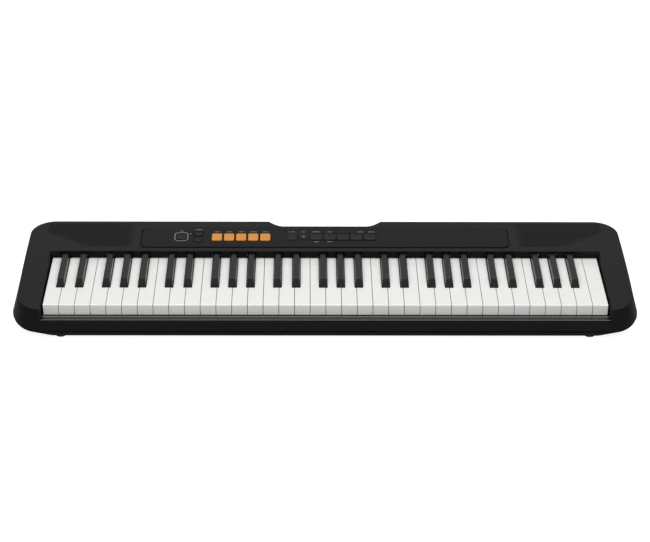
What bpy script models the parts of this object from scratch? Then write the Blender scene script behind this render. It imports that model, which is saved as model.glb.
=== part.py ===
"""Portable keyboard with sixty-one full-size keys, made as the pieces that it is put together from.

Metres, +Z up. X runs along the keys from bass to treble, Y from the player to the back.
The origin lies on the table top, under the middle of the case.
"""
import math

import bpy
import bmesh
from mathutils import Matrix, Vector

for leftover in list(bpy.data.objects):
    bpy.data.objects.remove(leftover, do_unlink=True)

# Clearances
SEAT = 0.0003
SLIDE_GAP = 0.0005
KEY_GAP = 0.0009
BLACK_GAP = 0.0010
KEY_SIDE_ROOM = 0.0030

# Keys
WHITE_PITCH = 0.0235
OCTAVES = 5
SINGLE_KEY_OCTAVE = 2
KEY_VISIBLE = 0.137
BLACK_LENGTH = 0.0865
WHITE_FACE = 0.017
WHITE_SINK = 0.014
WHITE_EDGE = 0.0014
KEY_SKIN = 0.0025
KEY_WALL = 0.0015
BLACK_WIDTH = 0.0115
BLACK_TOP_WIDTH = 0.0095
BLACK_RISE = 0.010
BLACK_NOSE = 0.0115
BLACK_EDGE = 0.0010
BLACK_SKIRT_LIFT = 0.004
BLACK_SHOULDER = 0.001
BLACK_BACK_ROOM = 0.001
BLACK_TOP_END = 0.006
WHITE_SWING = math.radians(3.4)
WHITE_NOTES = "CDEFGAB"
BLACK_SHIFT = {"C": -0.0025, "D": 0.0024, "F": -0.0036, "G": -0.0003, "A": 0.0035}

# Key hinge, measured from the back edge of the key opening
SHELL_END = 0.015
HINGE_BACK = 0.026
HINGE_RISE = 0.0082
BAR_DEPTH = 0.006
BAR_HEIGHT = 0.0025
BAR_GAP = 0.0004
TONGUE_WIDTH = 0.008
TONGUE_THICKNESS = 0.0012
TONGUE_ROOT = 0.00025
HINGE_SHELF = 0.005
SINGLE_BAR_ROOM = 0.0004

# Case
FOOT_PROUD = 0.005
TRAY_HEIGHT = 0.024
UPPER_HEIGHT = 0.044
END_BLOCK = 0.039
FRONT_RAIL = 0.026
RAIL_REST = 0.003
RAIL_RISE = 0.015
RAIL_NOSE = 0.003
RAIL_NOSE_SETBACK = 0.0035
DECK_DEPTH = 0.093
CASE_CORNER = 0.040
CASE_WALL = 0.0025
CASE_EDGE = 0.0020
SIDE_DRAFT = 0.045
FRONT_LEAN = 0.403
CROWN_DROP = 0.013
CROWN_BACK = 0.025
LIP_DEPTH = 0.0025
LIP_SINK = 0.013
GRIP_MOUTH = 0.0890
GRIP_FLOOR = 0.0655
GRIP_DEPTH = 0.0152
TRAY_FLOOR = 0.0025
TRAY_TUCK = ((1.0, 0.0), (0.60, 0.0015), (0.18, 0.0060), (0.0, 0.0120))

# Control panel and speaker bays
SPEAKER_BAY = 0.1745
PANEL_FRONT_STRIP = 0.0105
PANEL_BACK_STRIP = 0.0190
PANEL_THICKNESS = 0.0027
PANEL_CORNER = 0.008
PANEL_LEDGE = 0.004
LEDGE_THICKNESS = 0.0025
POCKET_SINK = 0.0010
BUTTON_PROUD = 0.0008
BUTTON_TRAVEL = 0.0015
FLANGE_SIDE = 0.0007
FLANGE_END = 0.0014
FLANGE_HEIGHT = 0.0010
BUTTON_HEIGHT = 0.0084
BUTTON_EDGE = 0.0006
STEM_WIDTH = 0.005
BOARD_THICKNESS = 0.0016
SPEAKER_FROM_END = 0.095
SPEAKER_WIDTH = 0.100
SPEAKER_DEPTH = 0.054
SPEAKER_DROP = 0.026
SPEAKER_FLANGE = 0.0045
SPEAKER_FLANGE_HEIGHT = 0.003
MAGNET_RADIUS = 0.018
MAGNET_HEIGHT = 0.010
BASKET_RISE = 0.002
BASKET_FLARE = 0.003
DUST_CAP = 0.013
DUST_CAP_SINK = 0.010
DUST_CAP_RISE = 0.003

# Speaker perforation: staggered rows whose outer front corner is left out along a slope
GRILLE_PITCH = 0.0155
GRILLE_HOLE = 0.0026
GRILLE_FROM_PANEL = 0.0150
GRILLE_FROM_END = 0.0370
GRILLE_FROM_BACK = 0.0110
GRILLE_FROM_KEYS = 0.0150
GRILLE_FADE_DEPTH = 0.0330
GRILLE_FADE_SLOPE = 1.6

# Key frame
FRAME_SINK = 0.015
FRAME_SKIN = 0.0020
FRAME_WALL = 0.0025
FRAME_END_ROOM = 0.0020
FELT_SETBACK = 0.004
FELT_DEPTH = 0.012
FELT_HEIGHT = 0.0027
POST_SETBACK = 0.0045
POST_DEPTH = 0.003
POST_ROOM = 0.0005
POST_HEADROOM = 0.002
FRAME_MARGIN = 0.001
STRIP_END_ROOM = 0.003

# Battery bay for six small cells, three side by side and two end to end
CELL_LENGTH = 0.0505
CELL_DIAMETER = 0.0145
BAY_FROM_GRIP = 0.016
BAY_END_ROOM = 0.0050
BAY_SIDE_ROOM = 0.0015
BAY_WALL = 0.0015
DOOR_THICKNESS = 0.0020
DOOR_LAND = 0.0015
CONTACT_THICKNESS = 0.0008
CONTACT_HEIGHT = 0.011
CONTACT_SIDE_ROOM = 0.002
CONTACT_LIFT = 0.001
PAD_RADIUS = 0.0042
PAD_TIP_RADIUS = 0.0022
PAD_RISE = 0.0028
THUMB_WIDTH = 0.020
THUMB_DEPTH = 0.009
THUMB_CORNER = 0.004
THUMB_SINK = 0.0008
THUMB_FROM_EDGE = 0.009

# Sockets in the back wall: name, distance from the grip notch, bore, block width
SOCKETS = [
    ("headphone_jack", 0.071, 0.0066, 0.0145),
    ("pedal_jack", 0.096, 0.0066, 0.0145),
    ("dc_inlet", 0.121, 0.0063, 0.0110),
]
SOCKET_RISE = 0.016
SOCKET_NOSE = 0.0050
SOCKET_BLOCK_HEIGHT = 0.0136
SOCKET_BLOCK_DEPTH = 0.022
SOCKET_BORE_DEPTH = 0.018

# Feet and boards
FOOT_RADIUS = 0.010
FOOT_BEVEL = 0.0012
FOOT_POCKET = 0.0010
FOOT_FROM_END = 0.065
FOOT_FROM_EDGE = 0.038
POST_RADIUS = 0.003
MAIN_BOARD_WIDTH = 0.120
MAIN_BOARD_DEPTH = 0.036
MAIN_BOARD_LIFT = 0.008
MAIN_BOARD_ROOM = 0.006
CONTACT_BOARD_DEPTH = 0.045
STRIP_DEPTH = 0.022
STRIP_DRAFT = 0.007
STRIP_BACK = 0.027

# Fineness of the round stretches
CORNER_STEPS = 6
CROWN_STEPS = 6
GRIP_STEPS = 5
NOSE_STEPS = 4
WELL_STEPS = 3
BUTTON_STEPS = 2
ROUND_BUTTON_STEPS = 4
POST_STEPS = 8
FOOT_STEPS = 12
SOCKET_STEPS = 12
BORE_STEPS = 10
SPEAKER_STEPS = 16
GRILLE_SIDES = 4
WHITE_EDGE_STEPS = 2
BLACK_EDGE_STEPS = 1

# Reach of a cutter or joined shape: past a face, well past it, and clear of everything
OVERLAP = 0.001
PASS = 0.010
ABOVE = 0.1
TOUCH = 0.000001


def drop(y, swing):
    """How far a key's underside falls at depth y when the key is fully down."""
    return (HINGE_Y - y) * math.sin(swing)


# Places that follow from the sizes above
WHITE_COUNT = 7 * OCTAVES + 1
KEY_SPAN = WHITE_COUNT * WHITE_PITCH
OPEN_HALF = KEY_SPAN / 2 + KEY_SIDE_ROOM
CASE_HALF = OPEN_HALF + END_BLOCK
CASE_DEPTH = FRONT_RAIL + KEY_VISIBLE + DECK_DEPTH
CASE_FRONT = -CASE_DEPTH / 2
CASE_BACK = CASE_DEPTH / 2
KEY_FRONT = CASE_FRONT + FRONT_RAIL
OPEN_FRONT = KEY_FRONT - RAIL_REST
DECK_FRONT = KEY_FRONT + KEY_VISIBLE
BLACK_FRONT = DECK_FRONT - BLACK_LENGTH
BELT = FOOT_PROUD + TRAY_HEIGHT
CASE_TOP = BELT + UPPER_HEIGHT
RAIL_TOP = BELT + RAIL_RISE
FRONT_EDGE = CASE_TOP - CROWN_DROP
WHITE_TOP = CASE_TOP - WHITE_SINK
WHITE_BOTTOM = WHITE_TOP - WHITE_FACE
BLACK_TOP = WHITE_TOP + BLACK_RISE
LIP_BOTTOM = CASE_TOP - LIP_SINK
HINGE_Y = DECK_FRONT + HINGE_BACK
HINGE_Z = WHITE_BOTTOM + HINGE_RISE
SHELL_BACK = DECK_FRONT + SHELL_END
CROWN_END = DECK_FRONT + CROWN_BACK
CROWN_START = CASE_FRONT + (FRONT_EDGE - BELT) * FRONT_LEAN
FRAME_TOP = WHITE_BOTTOM - FRAME_SINK
FRAME_BACK = HINGE_Y + HINGE_SHELF
FLOOR_TOP = FOOT_PROUD + TRAY_FLOOR
PANEL_HALF = CASE_HALF - SPEAKER_BAY
PANEL_FRONT = DECK_FRONT + PANEL_FRONT_STRIP
PANEL_BACK = CASE_BACK - PANEL_BACK_STRIP
PANEL_BOTTOM = CASE_TOP - PANEL_THICKNESS
LEDGE_TOP = PANEL_BOTTOM - SEAT
BUTTON_FOOT = CASE_TOP + BUTTON_PROUD - BUTTON_HEIGHT
BUTTON_BOARD_TOP = BUTTON_FOOT - BUTTON_TRAVEL - SEAT
BAY_LEFT = GRIP_MOUTH + BAY_FROM_GRIP
BAY_RIGHT = BAY_LEFT + 2 * CELL_LENGTH + 2 * BAY_END_ROOM
BAY_FRONT = FRAME_BACK + SLIDE_GAP + BAY_WALL
BAY_BACK = BAY_FRONT + 3 * CELL_DIAMETER + BAY_SIDE_ROOM
BAY_ROOF = FOOT_PROUD + DOOR_THICKNESS + SEAT + CELL_DIAMETER + SLIDE_GAP
FELT_FRONT = KEY_FRONT + FELT_SETBACK
FELT_TOP = WHITE_BOTTOM - drop(FELT_FRONT, WHITE_SWING) - SEAT
SHELF_TOP = FELT_TOP - FELT_HEIGHT - SEAT
POST_Y = FELT_FRONT + FELT_DEPTH + POST_SETBACK
POST_TOP = WHITE_TOP - KEY_SKIN - drop(POST_Y, WHITE_SWING) - POST_HEADROOM
STRIP_FRONT = DECK_FRONT - STRIP_BACK - STRIP_DEPTH
GRILLE_INNER = PANEL_HALF + GRILLE_FROM_PANEL
GRILLE_OUTER = CASE_HALF - GRILLE_FROM_END
GRILLE_REAR = CASE_BACK - GRILLE_FROM_BACK
GRILLE_NEAR = DECK_FRONT + GRILLE_FROM_KEYS
MAIN_BOARD_Z = FLOOR_TOP + MAIN_BOARD_LIFT
MAIN_BOARD_RIGHT = -GRIP_MOUTH - MAIN_BOARD_ROOM
MAIN_BOARD_LEFT = MAIN_BOARD_RIGHT - MAIN_BOARD_WIDTH
MAIN_BOARD_FRONT = FRAME_BACK + MAIN_BOARD_ROOM

# Buttons on the panel: name, place from the panel's left end, place from its middle line, width, depth
BUTTONS = [
    ("power_button", 0.0652, 0.0008, 0.0164, 0.0180, 0.0030),
    ("volume_up_button", 0.0917, 0.0096, 0.0117, 0.0120, 0.0020),
    ("volume_down_button", 0.0917, -0.0090, 0.0117, 0.0120, 0.0020),
    ("mode_button", 0.2387, 0.0008, 0.0155, 0.0205, 0.0020),
    ("round_button", 0.2566, 0.0008, 0.0150, 0.0150, 0.0074),
]
TONE_BUTTONS = 5
TONE_FIRST = 0.1211
TONE_PITCH = 0.0189
TONE_WIDTH = 0.0160
TONE_DEPTH = 0.0208
TONE_SHIFT = -0.0005
FUNCTION_BUTTONS = 5
FUNCTION_FIRST = 0.2768
FUNCTION_PITCH = 0.0210
FUNCTION_SIZE = 0.0192
FUNCTION_SHIFT = 0.0008
FUNCTION_ROOM = 0.0009
VOLUME_ROOM = 0.0022
WELL_ROOM = 0.0011
WELL_CORNER = 0.0030
BUTTON_CORNER = 0.0020
ROUND_FROM = 0.0050
PILLAR_FROM_END = 0.0120
PILLAR_FROM_EDGE = 0.0045
MIDDLE_PILLAR = 0.2505


def arc(x, y, radius, start, stop, steps):
    """Points on an arc from one angle to another, in degrees."""
    angles = [math.radians(start + (stop - start) * step / steps) for step in range(steps + 1)]
    return [(x + radius * math.cos(angle), y + radius * math.sin(angle)) for angle in angles]


def rounded_rectangle(x, y, width, depth, radius, steps=3):
    """Anticlockwise plan outline with four arc corners."""
    across = width / 2 - radius
    along = depth / 2 - radius
    points = arc(x + across, y + along, radius, 0, 90, steps)
    points += arc(x - across, y + along, radius, 90, 180, steps)
    points += arc(x - across, y - along, radius, 180, 270, steps)
    points += arc(x + across, y - along, radius, 270, 360, steps)
    return points


def circle(x, y, radius, steps):
    """Anticlockwise ring of points, without its first point repeated."""
    return arc(x, y, radius, 0, 360, steps)[:-1]


def new_object(name, bm):
    """Turn a finished bmesh into an object with all of its faces pointing out."""
    bmesh.ops.recalc_face_normals(bm, faces=bm.faces)
    mesh = bpy.data.meshes.new(name)
    bm.to_mesh(mesh)
    bm.free()
    piece = bpy.data.objects.new(name, mesh)
    bpy.context.scene.collection.objects.link(piece)
    return piece


def skin(bm, rings):
    """Bridge closed rings of points, each with the same count, into side walls; return the loops."""
    loops = [[bm.verts.new(point) for point in ring] for ring in rings]
    for lower, upper in zip(loops, loops[1:]):
        for index in range(len(lower)):
            after = (index + 1) % len(lower)
            bm.faces.new((lower[index], lower[after], upper[after], upper[index]))
    return loops


def loft(name, rings):
    """A closed solid through rings of points, capped at both ends."""
    bm = bmesh.new()
    loops = skin(bm, rings)
    bm.faces.new(list(reversed(loops[0])))
    bm.faces.new(loops[-1])
    return new_object(name, bm)


def at_height(outline, z):
    """Lift a plan outline to one height."""
    return [(x, y, z) for x, y in outline]


def prism(name, outline, low, high):
    """Carry a plan outline straight up."""
    return loft(name, [at_height(outline, low), at_height(outline, high)])


def extrusion(name, profile, left, right):
    """Carry a closed profile of (y, z) points along X."""
    return loft(name, [[(x, y, z) for y, z in profile] for x in (left, right)])


def box(name, low, high):
    """Block between two opposite corners."""
    outline = [(low[0], low[1]), (high[0], low[1]), (high[0], high[1]), (low[0], high[1])]
    return prism(name, outline, low[2], high[2])


def gather(name, pieces):
    """Put separate closed shapes into one cutter object."""
    bm = bmesh.new()
    for piece in pieces:
        bm.from_mesh(piece.data)
        bpy.data.objects.remove(piece, do_unlink=True)
    return new_object(name, bm)


def combine(target, tool, operation="DIFFERENCE"):
    """Add or cut the tool's shape for good, and drop the tool."""
    modifier = target.modifiers.new("combine", "BOOLEAN")
    modifier.operation = operation
    modifier.solver = "EXACT"
    modifier.object = tool
    depsgraph = bpy.context.evaluated_depsgraph_get()
    mesh = bpy.data.meshes.new_from_object(target.evaluated_get(depsgraph))
    mesh.name = target.name
    target.modifiers.clear()
    target.data = mesh
    bpy.data.objects.remove(tool, do_unlink=True)
    return target


def cut(target, tool):
    """Take the tool's shape out of the target."""
    return combine(target, tool, "DIFFERENCE")


def add(target, tool):
    """Join the tool's shape to the target."""
    return combine(target, tool, "UNION")


def put_origin(piece, point):
    """Move the object's origin to a point without moving its shape."""
    piece.data.transform(Matrix.Translation(-Vector(point)))
    piece.location = point


def finish(name, shade, roughness, metallic=0.0):
    """One material: an sRGB shade such as 323232, its roughness and its metallic value."""
    parts = [int(shade[place:place + 2], 16) / 255 for place in (0, 2, 4)]
    linear = [part / 12.92 if part <= 0.04045 else ((part + 0.055) / 1.055) ** 2.4 for part in parts]
    material = bpy.data.materials.new(name)
    material.use_nodes = True
    shader = material.node_tree.nodes["Principled BSDF"]
    shader.inputs["Base Color"].default_value = (*linear, 1.0)
    shader.inputs["Roughness"].default_value = roughness
    shader.inputs["Metallic"].default_value = metallic
    material.diffuse_color = (*linear, 1.0)
    return material


def dress(piece, material, smooth_angle=35):
    """Give the piece its finish, smooth over its rounds and sharp at its edges."""
    piece.data.materials.clear()
    piece.data.materials.append(material)
    piece.data.shade_smooth()
    piece.data.set_sharp_from_angle(angle=math.radians(smooth_angle))
    return piece


def crown(y):
    """Height of the case's top skin: level at the back, bending down towards the player."""
    reach = max(CROWN_END - y, 0.0) / (CROWN_END - CROWN_START)
    return CASE_TOP - CROWN_DROP * reach * reach


def plan_half(side, front, back, crown_steps=CROWN_STEPS):
    """Right half of the case's plan, from the front to the grip notch, drawn in by each inset."""
    half = CASE_HALF - side
    near = CASE_FRONT + front
    far = CASE_BACK - back
    radius = CASE_CORNER - side
    points = arc(half - radius, near + radius, radius, -90, 0, CORNER_STEPS)
    start = near + radius
    points += [(half, start + (CROWN_END - start) * step / crown_steps)
               for step in range(1, crown_steps + 1)]
    points += arc(half - radius, far - radius, radius, 0, 90, CORNER_STEPS)
    for step in range(GRIP_STEPS + 1):
        share = step / GRIP_STEPS
        x = GRIP_MOUTH - (GRIP_MOUTH - GRIP_FLOOR) * share
        points.append((x, far - GRIP_DEPTH * math.sin(share * math.pi / 2)))
    return points


def plan_ring(side, front, back, height, crown_steps=CROWN_STEPS):
    """The whole plan as one anticlockwise ring, with a height that may depend on y."""
    right = [(x, y, height(y)) for x, y in plan_half(side, front, back, crown_steps)]
    left = [(-x, y, z) for x, y, z in reversed(right)]
    return right + left


def level(z):
    """A ring height that is the same at every y."""
    return lambda y: z


def crowned_body(name, inset, bottom):
    """The upper case's outer form, or its hollow when inset by the wall."""
    top = CASE_TOP - inset
    rise = top - CASE_EDGE - BELT
    side = inset + rise * SIDE_DRAFT
    front = inset + (FRONT_EDGE - CASE_EDGE - BELT) * FRONT_LEAN
    blend = CASE_EDGE * (1 - math.sqrt(0.5))
    rings = [
        plan_ring(inset, inset, inset, level(bottom)),
        plan_ring(side, front, side, lambda y: crown(y) - inset - CASE_EDGE),
        plan_ring(side + blend, front + blend, side + blend, lambda y: crown(y) - inset - blend),
        plan_ring(side + CASE_EDGE, front + CASE_EDGE, side + CASE_EDGE, lambda y: crown(y) - inset),
    ]
    bm = bmesh.new()
    loops = skin(bm, rings)
    bm.faces.new(list(reversed(loops[0])))
    top_loop = loops[-1]
    count = len(top_loop)
    bend = CORNER_STEPS + CROWN_STEPS
    for index in range(bend):
        mirror = count - 1 - index
        bm.faces.new((top_loop[index], top_loop[index + 1], top_loop[mirror - 1], top_loop[mirror]))
    bm.faces.new(top_loop[bend:count - bend])
    return new_object(name, bm)


def black_centre(octave, note):
    """Middle of a black key: the joint above its lower white neighbour, shifted as on real keys."""
    joint = -KEY_SPAN / 2 + (7 * octave + WHITE_NOTES.index(note) + 1) * WHITE_PITCH
    return joint + BLACK_SHIFT[note]


def black_centres():
    """Middles of all black keys, from the bass up."""
    return [black_centre(octave, note) for octave in range(OCTAVES) for note in BLACK_SHIFT]


def back_wall(z, inset=0.0):
    """Where the drafted back wall stands at a height."""
    return CASE_BACK - inset - (z - BELT) * SIDE_DRAFT


def socket_place(from_grip):
    """X and height of a socket's axis, on the treble side of the grip notch."""
    return GRIP_MOUTH + from_grip, BELT + SOCKET_RISE


def grille_places():
    """Middles of the holes over both speakers, row by row from the back."""
    places = []
    row = 0
    y = GRILLE_REAR
    while y > GRILLE_NEAR:
        faded = max(GRILLE_REAR - GRILLE_FADE_DEPTH - y, 0.0) * GRILLE_FADE_SLOPE
        x = GRILLE_INNER + GRILLE_PITCH / 2 * (row % 2)
        while x < GRILLE_OUTER - faded:
            places += [(-x, y), (x, y)]
            x += GRILLE_PITCH
        row += 1
        y -= GRILLE_PITCH * math.sqrt(3) / 2
    return places


def upper_case():
    """Moulded top shell: crowned end blocks, front rail, key opening with its notched back lip."""
    case = crowned_body("upper_case", 0.0, BELT)
    hollow = crowned_body("hollow", CASE_WALL, BELT - 2 * OVERLAP)
    wall_front = OPEN_FRONT - CASE_WALL
    wall_back = DECK_FRONT + LIP_DEPTH
    wall_half = OPEN_HALF + CASE_WALL
    cut(hollow, box("walls", (-wall_half, wall_front, 0.0), (wall_half, wall_back, ABOVE)))
    cut(hollow, box("rail", (-wall_half, CASE_FRONT - PASS, RAIL_TOP - CASE_WALL),
                    (wall_half, wall_front + OVERLAP, ABOVE)))
    ledge_half = PANEL_HALF + PANEL_LEDGE
    cut(hollow, box("ledge", (-ledge_half, PANEL_FRONT - CASE_WALL, LEDGE_TOP - LEDGE_THICKNESS),
                    (ledge_half, PANEL_BACK + CASE_WALL, ABOVE)))
    cut(case, hollow)
    cut(case, box("opening", (-OPEN_HALF, OPEN_FRONT, 0.0), (OPEN_HALF, DECK_FRONT, ABOVE)))
    nose = CASE_FRONT + (RAIL_TOP - BELT) * FRONT_LEAN
    rail = arc(nose + RAIL_NOSE_SETBACK, RAIL_TOP - RAIL_NOSE, RAIL_NOSE, 90, 165, NOSE_STEPS)
    profile = [(OPEN_FRONT + OVERLAP, RAIL_TOP)] + rail
    profile += [(CASE_FRONT - PASS, rail[-1][1]), (CASE_FRONT - PASS, ABOVE), (OPEN_FRONT + OVERLAP, ABOVE)]
    cut(case, extrusion("rail", profile, -OPEN_HALF, OPEN_HALF))
    cut(case, box("tails", (-OPEN_HALF, DECK_FRONT - OVERLAP, 0.0),
                  (OPEN_HALF, wall_back + OVERLAP, LIP_BOTTOM)))
    room = BLACK_WIDTH / 2 + BLACK_GAP
    notches = [box("notch", (x - room, DECK_FRONT - OVERLAP, LIP_BOTTOM - OVERLAP),
                   (x + room, wall_back + OVERLAP, CASE_TOP - CASE_WALL)) for x in black_centres()]
    cut(case, gather("notches", notches))
    middle = (PANEL_FRONT + PANEL_BACK) / 2
    depth = PANEL_BACK - PANEL_FRONT
    pocket = rounded_rectangle(0, middle, 2 * (PANEL_HALF + SLIDE_GAP), depth + 2 * SLIDE_GAP,
                               PANEL_CORNER + SLIDE_GAP)
    cut(case, prism("pocket", pocket, LEDGE_TOP, ABOVE))
    window_half = PANEL_HALF - PANEL_LEDGE
    cut(case, box("window", (-window_half, PANEL_FRONT + PANEL_LEDGE, LEDGE_TOP - 2 * LEDGE_THICKNESS),
                  (window_half, PANEL_BACK - PANEL_LEDGE, ABOVE)))
    for name, from_grip, bore, width in SOCKETS:
        x, z = socket_place(from_grip)
        ring = circle(x, z, SOCKET_NOSE + SEAT, SOCKET_STEPS)
        rings = [[(a, y, b) for a, b in ring] for y in (CASE_BACK + PASS, CASE_BACK - 2 * PASS)]
        cut(case, loft("hole", rings))
    perforation = [prism("hole", circle(x, y, GRILLE_HOLE, GRILLE_SIDES), CASE_TOP - 2 * CASE_WALL, ABOVE)
                   for x, y in grille_places()]
    cut(case, gather("grille", perforation))
    return case


def tray_ring(share, tuck, inset):
    """Plan of the tray at a share of its height, drawn in by the tuck and by the wall."""
    z = FOOT_PROUD + (TRAY_HEIGHT - SEAT) * share
    return plan_ring(tuck + inset, tuck + inset, tuck + inset, level(z), 0)


def lower_case():
    """Moulded bottom tray that tucks in under the belt line, with the battery bay and its posts."""
    tray = loft("lower_case", [tray_ring(share, tuck, 0.0) for share, tuck in reversed(TRAY_TUCK)])
    inner = [tray_ring(share, tuck, CASE_WALL) for share, tuck in reversed(TRAY_TUCK[:-1])]
    inner[0] = [(x, y, FLOOR_TOP) for x, y, z in inner[0]]
    inner[-1] = [(x, y, BELT + OVERLAP) for x, y, z in inner[-1]]
    cut(tray, loft("hollow", inner))
    bay = box("bay", (BAY_LEFT - BAY_WALL, BAY_FRONT - BAY_WALL, FLOOR_TOP - OVERLAP),
              (BAY_RIGHT + BAY_WALL, BAY_BACK + BAY_WALL, BAY_ROOF + BAY_WALL))
    add(tray, bay)
    land = DOOR_LAND
    cut(tray, box("throat", (BAY_LEFT + land, BAY_FRONT + land, 0.0),
                  (BAY_RIGHT - land, BAY_BACK - land, FLOOR_TOP + 2 * land)))
    cut(tray, box("cells", (BAY_LEFT, BAY_FRONT, FLOOR_TOP + land), (BAY_RIGHT, BAY_BACK, BAY_ROOF)))
    mouth_top = FOOT_PROUD + DOOR_THICKNESS + SEAT
    cut(tray, box("mouth", (BAY_LEFT, BAY_FRONT, 0.0), (BAY_RIGHT, BAY_BACK, mouth_top)))
    pocket_top = FOOT_PROUD + FOOT_POCKET
    feet = [prism("pocket", circle(x, y, FOOT_RADIUS + SEAT, FOOT_STEPS), 0.0, pocket_top)
            for x, y in foot_places()]
    cut(tray, gather("feet", feet))
    for x, y in board_posts():
        post = circle(x, y, POST_RADIUS, POST_STEPS)
        add(tray, prism("post", post, FLOOR_TOP - OVERLAP, MAIN_BOARD_Z - SEAT))
    return tray


def foot_places():
    """Middles of the four feet: front left, front right, back left, back right."""
    across = CASE_HALF - FOOT_FROM_END
    along = CASE_DEPTH / 2 - FOOT_FROM_EDGE
    return [(x, y) for y in (-along, along) for x in (-across, across)]


def board_posts():
    """Posts of the tray under the corners of the main board."""
    inset = 2 * POST_RADIUS
    return [(x, y) for x in (MAIN_BOARD_LEFT + inset, MAIN_BOARD_RIGHT - inset)
            for y in (MAIN_BOARD_FRONT + inset, MAIN_BOARD_FRONT + MAIN_BOARD_DEPTH - inset)]


def button_list():
    """Every panel button: name, x, y, width, depth, corner radius."""
    left = -PANEL_HALF
    middle = (PANEL_FRONT + PANEL_BACK) / 2
    found = [(name, left + x, middle + y, width, depth, corner)
             for name, x, y, width, depth, corner in BUTTONS]
    found += [(f"tone_button_{index + 1}", left + TONE_FIRST + index * TONE_PITCH, middle + TONE_SHIFT,
               TONE_WIDTH, TONE_DEPTH, BUTTON_CORNER) for index in range(TONE_BUTTONS)]
    found += [(f"function_button_{index + 1}", left + FUNCTION_FIRST + index * FUNCTION_PITCH,
               middle + FUNCTION_SHIFT, FUNCTION_SIZE, FUNCTION_SIZE, BUTTON_CORNER)
              for index in range(FUNCTION_BUTTONS)]
    return found


def button_steps(corner):
    """Fineness of a button's corners: finer where they make the whole button round."""
    return ROUND_BUTTON_STEPS if corner > ROUND_FROM else BUTTON_STEPS


def shared_well(group, room):
    """Outline of one well round a group of buttons."""
    left = min(x - width / 2 for name, x, y, width, d, corner in group) - room
    right = max(x + width / 2 for name, x, y, width, d, corner in group) + room
    near = min(y - d / 2 for name, x, y, width, d, corner in group) - room
    far = max(y + d / 2 for name, x, y, width, d, corner in group) + room
    middle_x = (left + right) / 2
    middle_y = (near + far) / 2
    return rounded_rectangle(middle_x, middle_y, right - left, far - near, WELL_CORNER, WELL_STEPS)


def control_panel():
    """Flat insert with a well for each button group, on pillars that hold the board under it."""
    middle = (PANEL_FRONT + PANEL_BACK) / 2
    depth = PANEL_BACK - PANEL_FRONT
    outline = rounded_rectangle(0, middle, 2 * PANEL_HALF, depth, PANEL_CORNER)
    panel = prism("control_panel", outline, PANEL_BOTTOM, CASE_TOP)
    row = [button for button in button_list() if button[0].startswith("function")]
    pair = [button for button in button_list() if button[0].startswith("volume")]
    wells = [shared_well(row, FUNCTION_ROOM), shared_well(pair, VOLUME_ROOM)]
    holes = []
    for name, x, y, width, d, corner in button_list():
        if not name.startswith(("function", "volume")):
            well_width = width + 2 * WELL_ROOM
            well_depth = d + 2 * WELL_ROOM
            wells.append(rounded_rectangle(x, y, well_width, well_depth, corner + WELL_ROOM, BUTTON_STEPS))
        hole_width = width + 2 * SLIDE_GAP
        hole_depth = d + 2 * SLIDE_GAP
        steps = button_steps(corner)
        holes.append(rounded_rectangle(x, y, hole_width, hole_depth, corner + SLIDE_GAP, steps))
    well_floor = CASE_TOP - POCKET_SINK
    cut(panel, gather("wells", [prism("well", outline, well_floor, ABOVE) for outline in wells]))
    hole_start = PANEL_BOTTOM - OVERLAP
    cut(panel, gather("holes", [prism("hole", outline, hole_start, ABOVE) for outline in holes]))
    for x, y in pillar_places():
        pillar = circle(x, y, POST_RADIUS, POST_STEPS)
        add(panel, prism("pillar", pillar, BUTTON_BOARD_TOP + SEAT, PANEL_BOTTOM + OVERLAP))
    return panel


def pillar_places():
    """Pillars at the panel's ends and between its two button groups, near both edges."""
    across = PANEL_HALF - PANEL_LEDGE - PILLAR_FROM_END
    near = PANEL_FRONT + PANEL_LEDGE + PILLAR_FROM_EDGE
    far = PANEL_BACK - PANEL_LEDGE - PILLAR_FROM_EDGE
    return [(x, y) for x in (-across, MIDDLE_PILLAR - PANEL_HALF, across) for y in (near, far)]


def button_cap(name, x, y, width, depth, corner):
    """A cap: push stem, wide flange under the panel, straight body and softened top edge."""
    top = CASE_TOP + BUTTON_PROUD
    flange_top = PANEL_BOTTOM - SEAT
    edge = BUTTON_EDGE
    steps = button_steps(corner)
    flange_width = width + 2 * FLANGE_SIDE
    flange_depth = depth + 2 * FLANGE_END
    wide = rounded_rectangle(x, y, flange_width, flange_depth, corner + FLANGE_SIDE, steps)
    body = rounded_rectangle(x, y, width, depth, corner, steps)
    rim = rounded_rectangle(x, y, width - 2 * edge, depth - 2 * edge, corner - edge, steps)
    stem = rounded_rectangle(x, y, STEM_WIDTH, STEM_WIDTH, STEM_WIDTH / 4, steps)
    rings = [
        at_height(stem, BUTTON_FOOT),
        at_height(stem, flange_top - FLANGE_HEIGHT),
        at_height(wide, flange_top - FLANGE_HEIGHT),
        at_height(wide, flange_top),
        at_height(body, flange_top),
        at_height(body, top - edge),
        at_height(rim, top),
    ]
    cap = loft(name, rings)
    put_origin(cap, (x, y, flange_top))
    return cap


def button_board():
    """Circuit board under the panel buttons."""
    near = PANEL_FRONT + PANEL_LEDGE + SLIDE_GAP
    far = PANEL_BACK - PANEL_LEDGE - SLIDE_GAP
    across = PANEL_HALF - PANEL_LEDGE - SLIDE_GAP
    bottom = BUTTON_BOARD_TOP - BOARD_THICKNESS
    return box("button_board", (-across, near, bottom), (across, far, BUTTON_BOARD_TOP))


def white_span(index):
    """Left and right side of one white key's head."""
    left = -KEY_SPAN / 2 + index * WHITE_PITCH + KEY_GAP / 2
    return left, left + WHITE_PITCH - KEY_GAP


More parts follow.
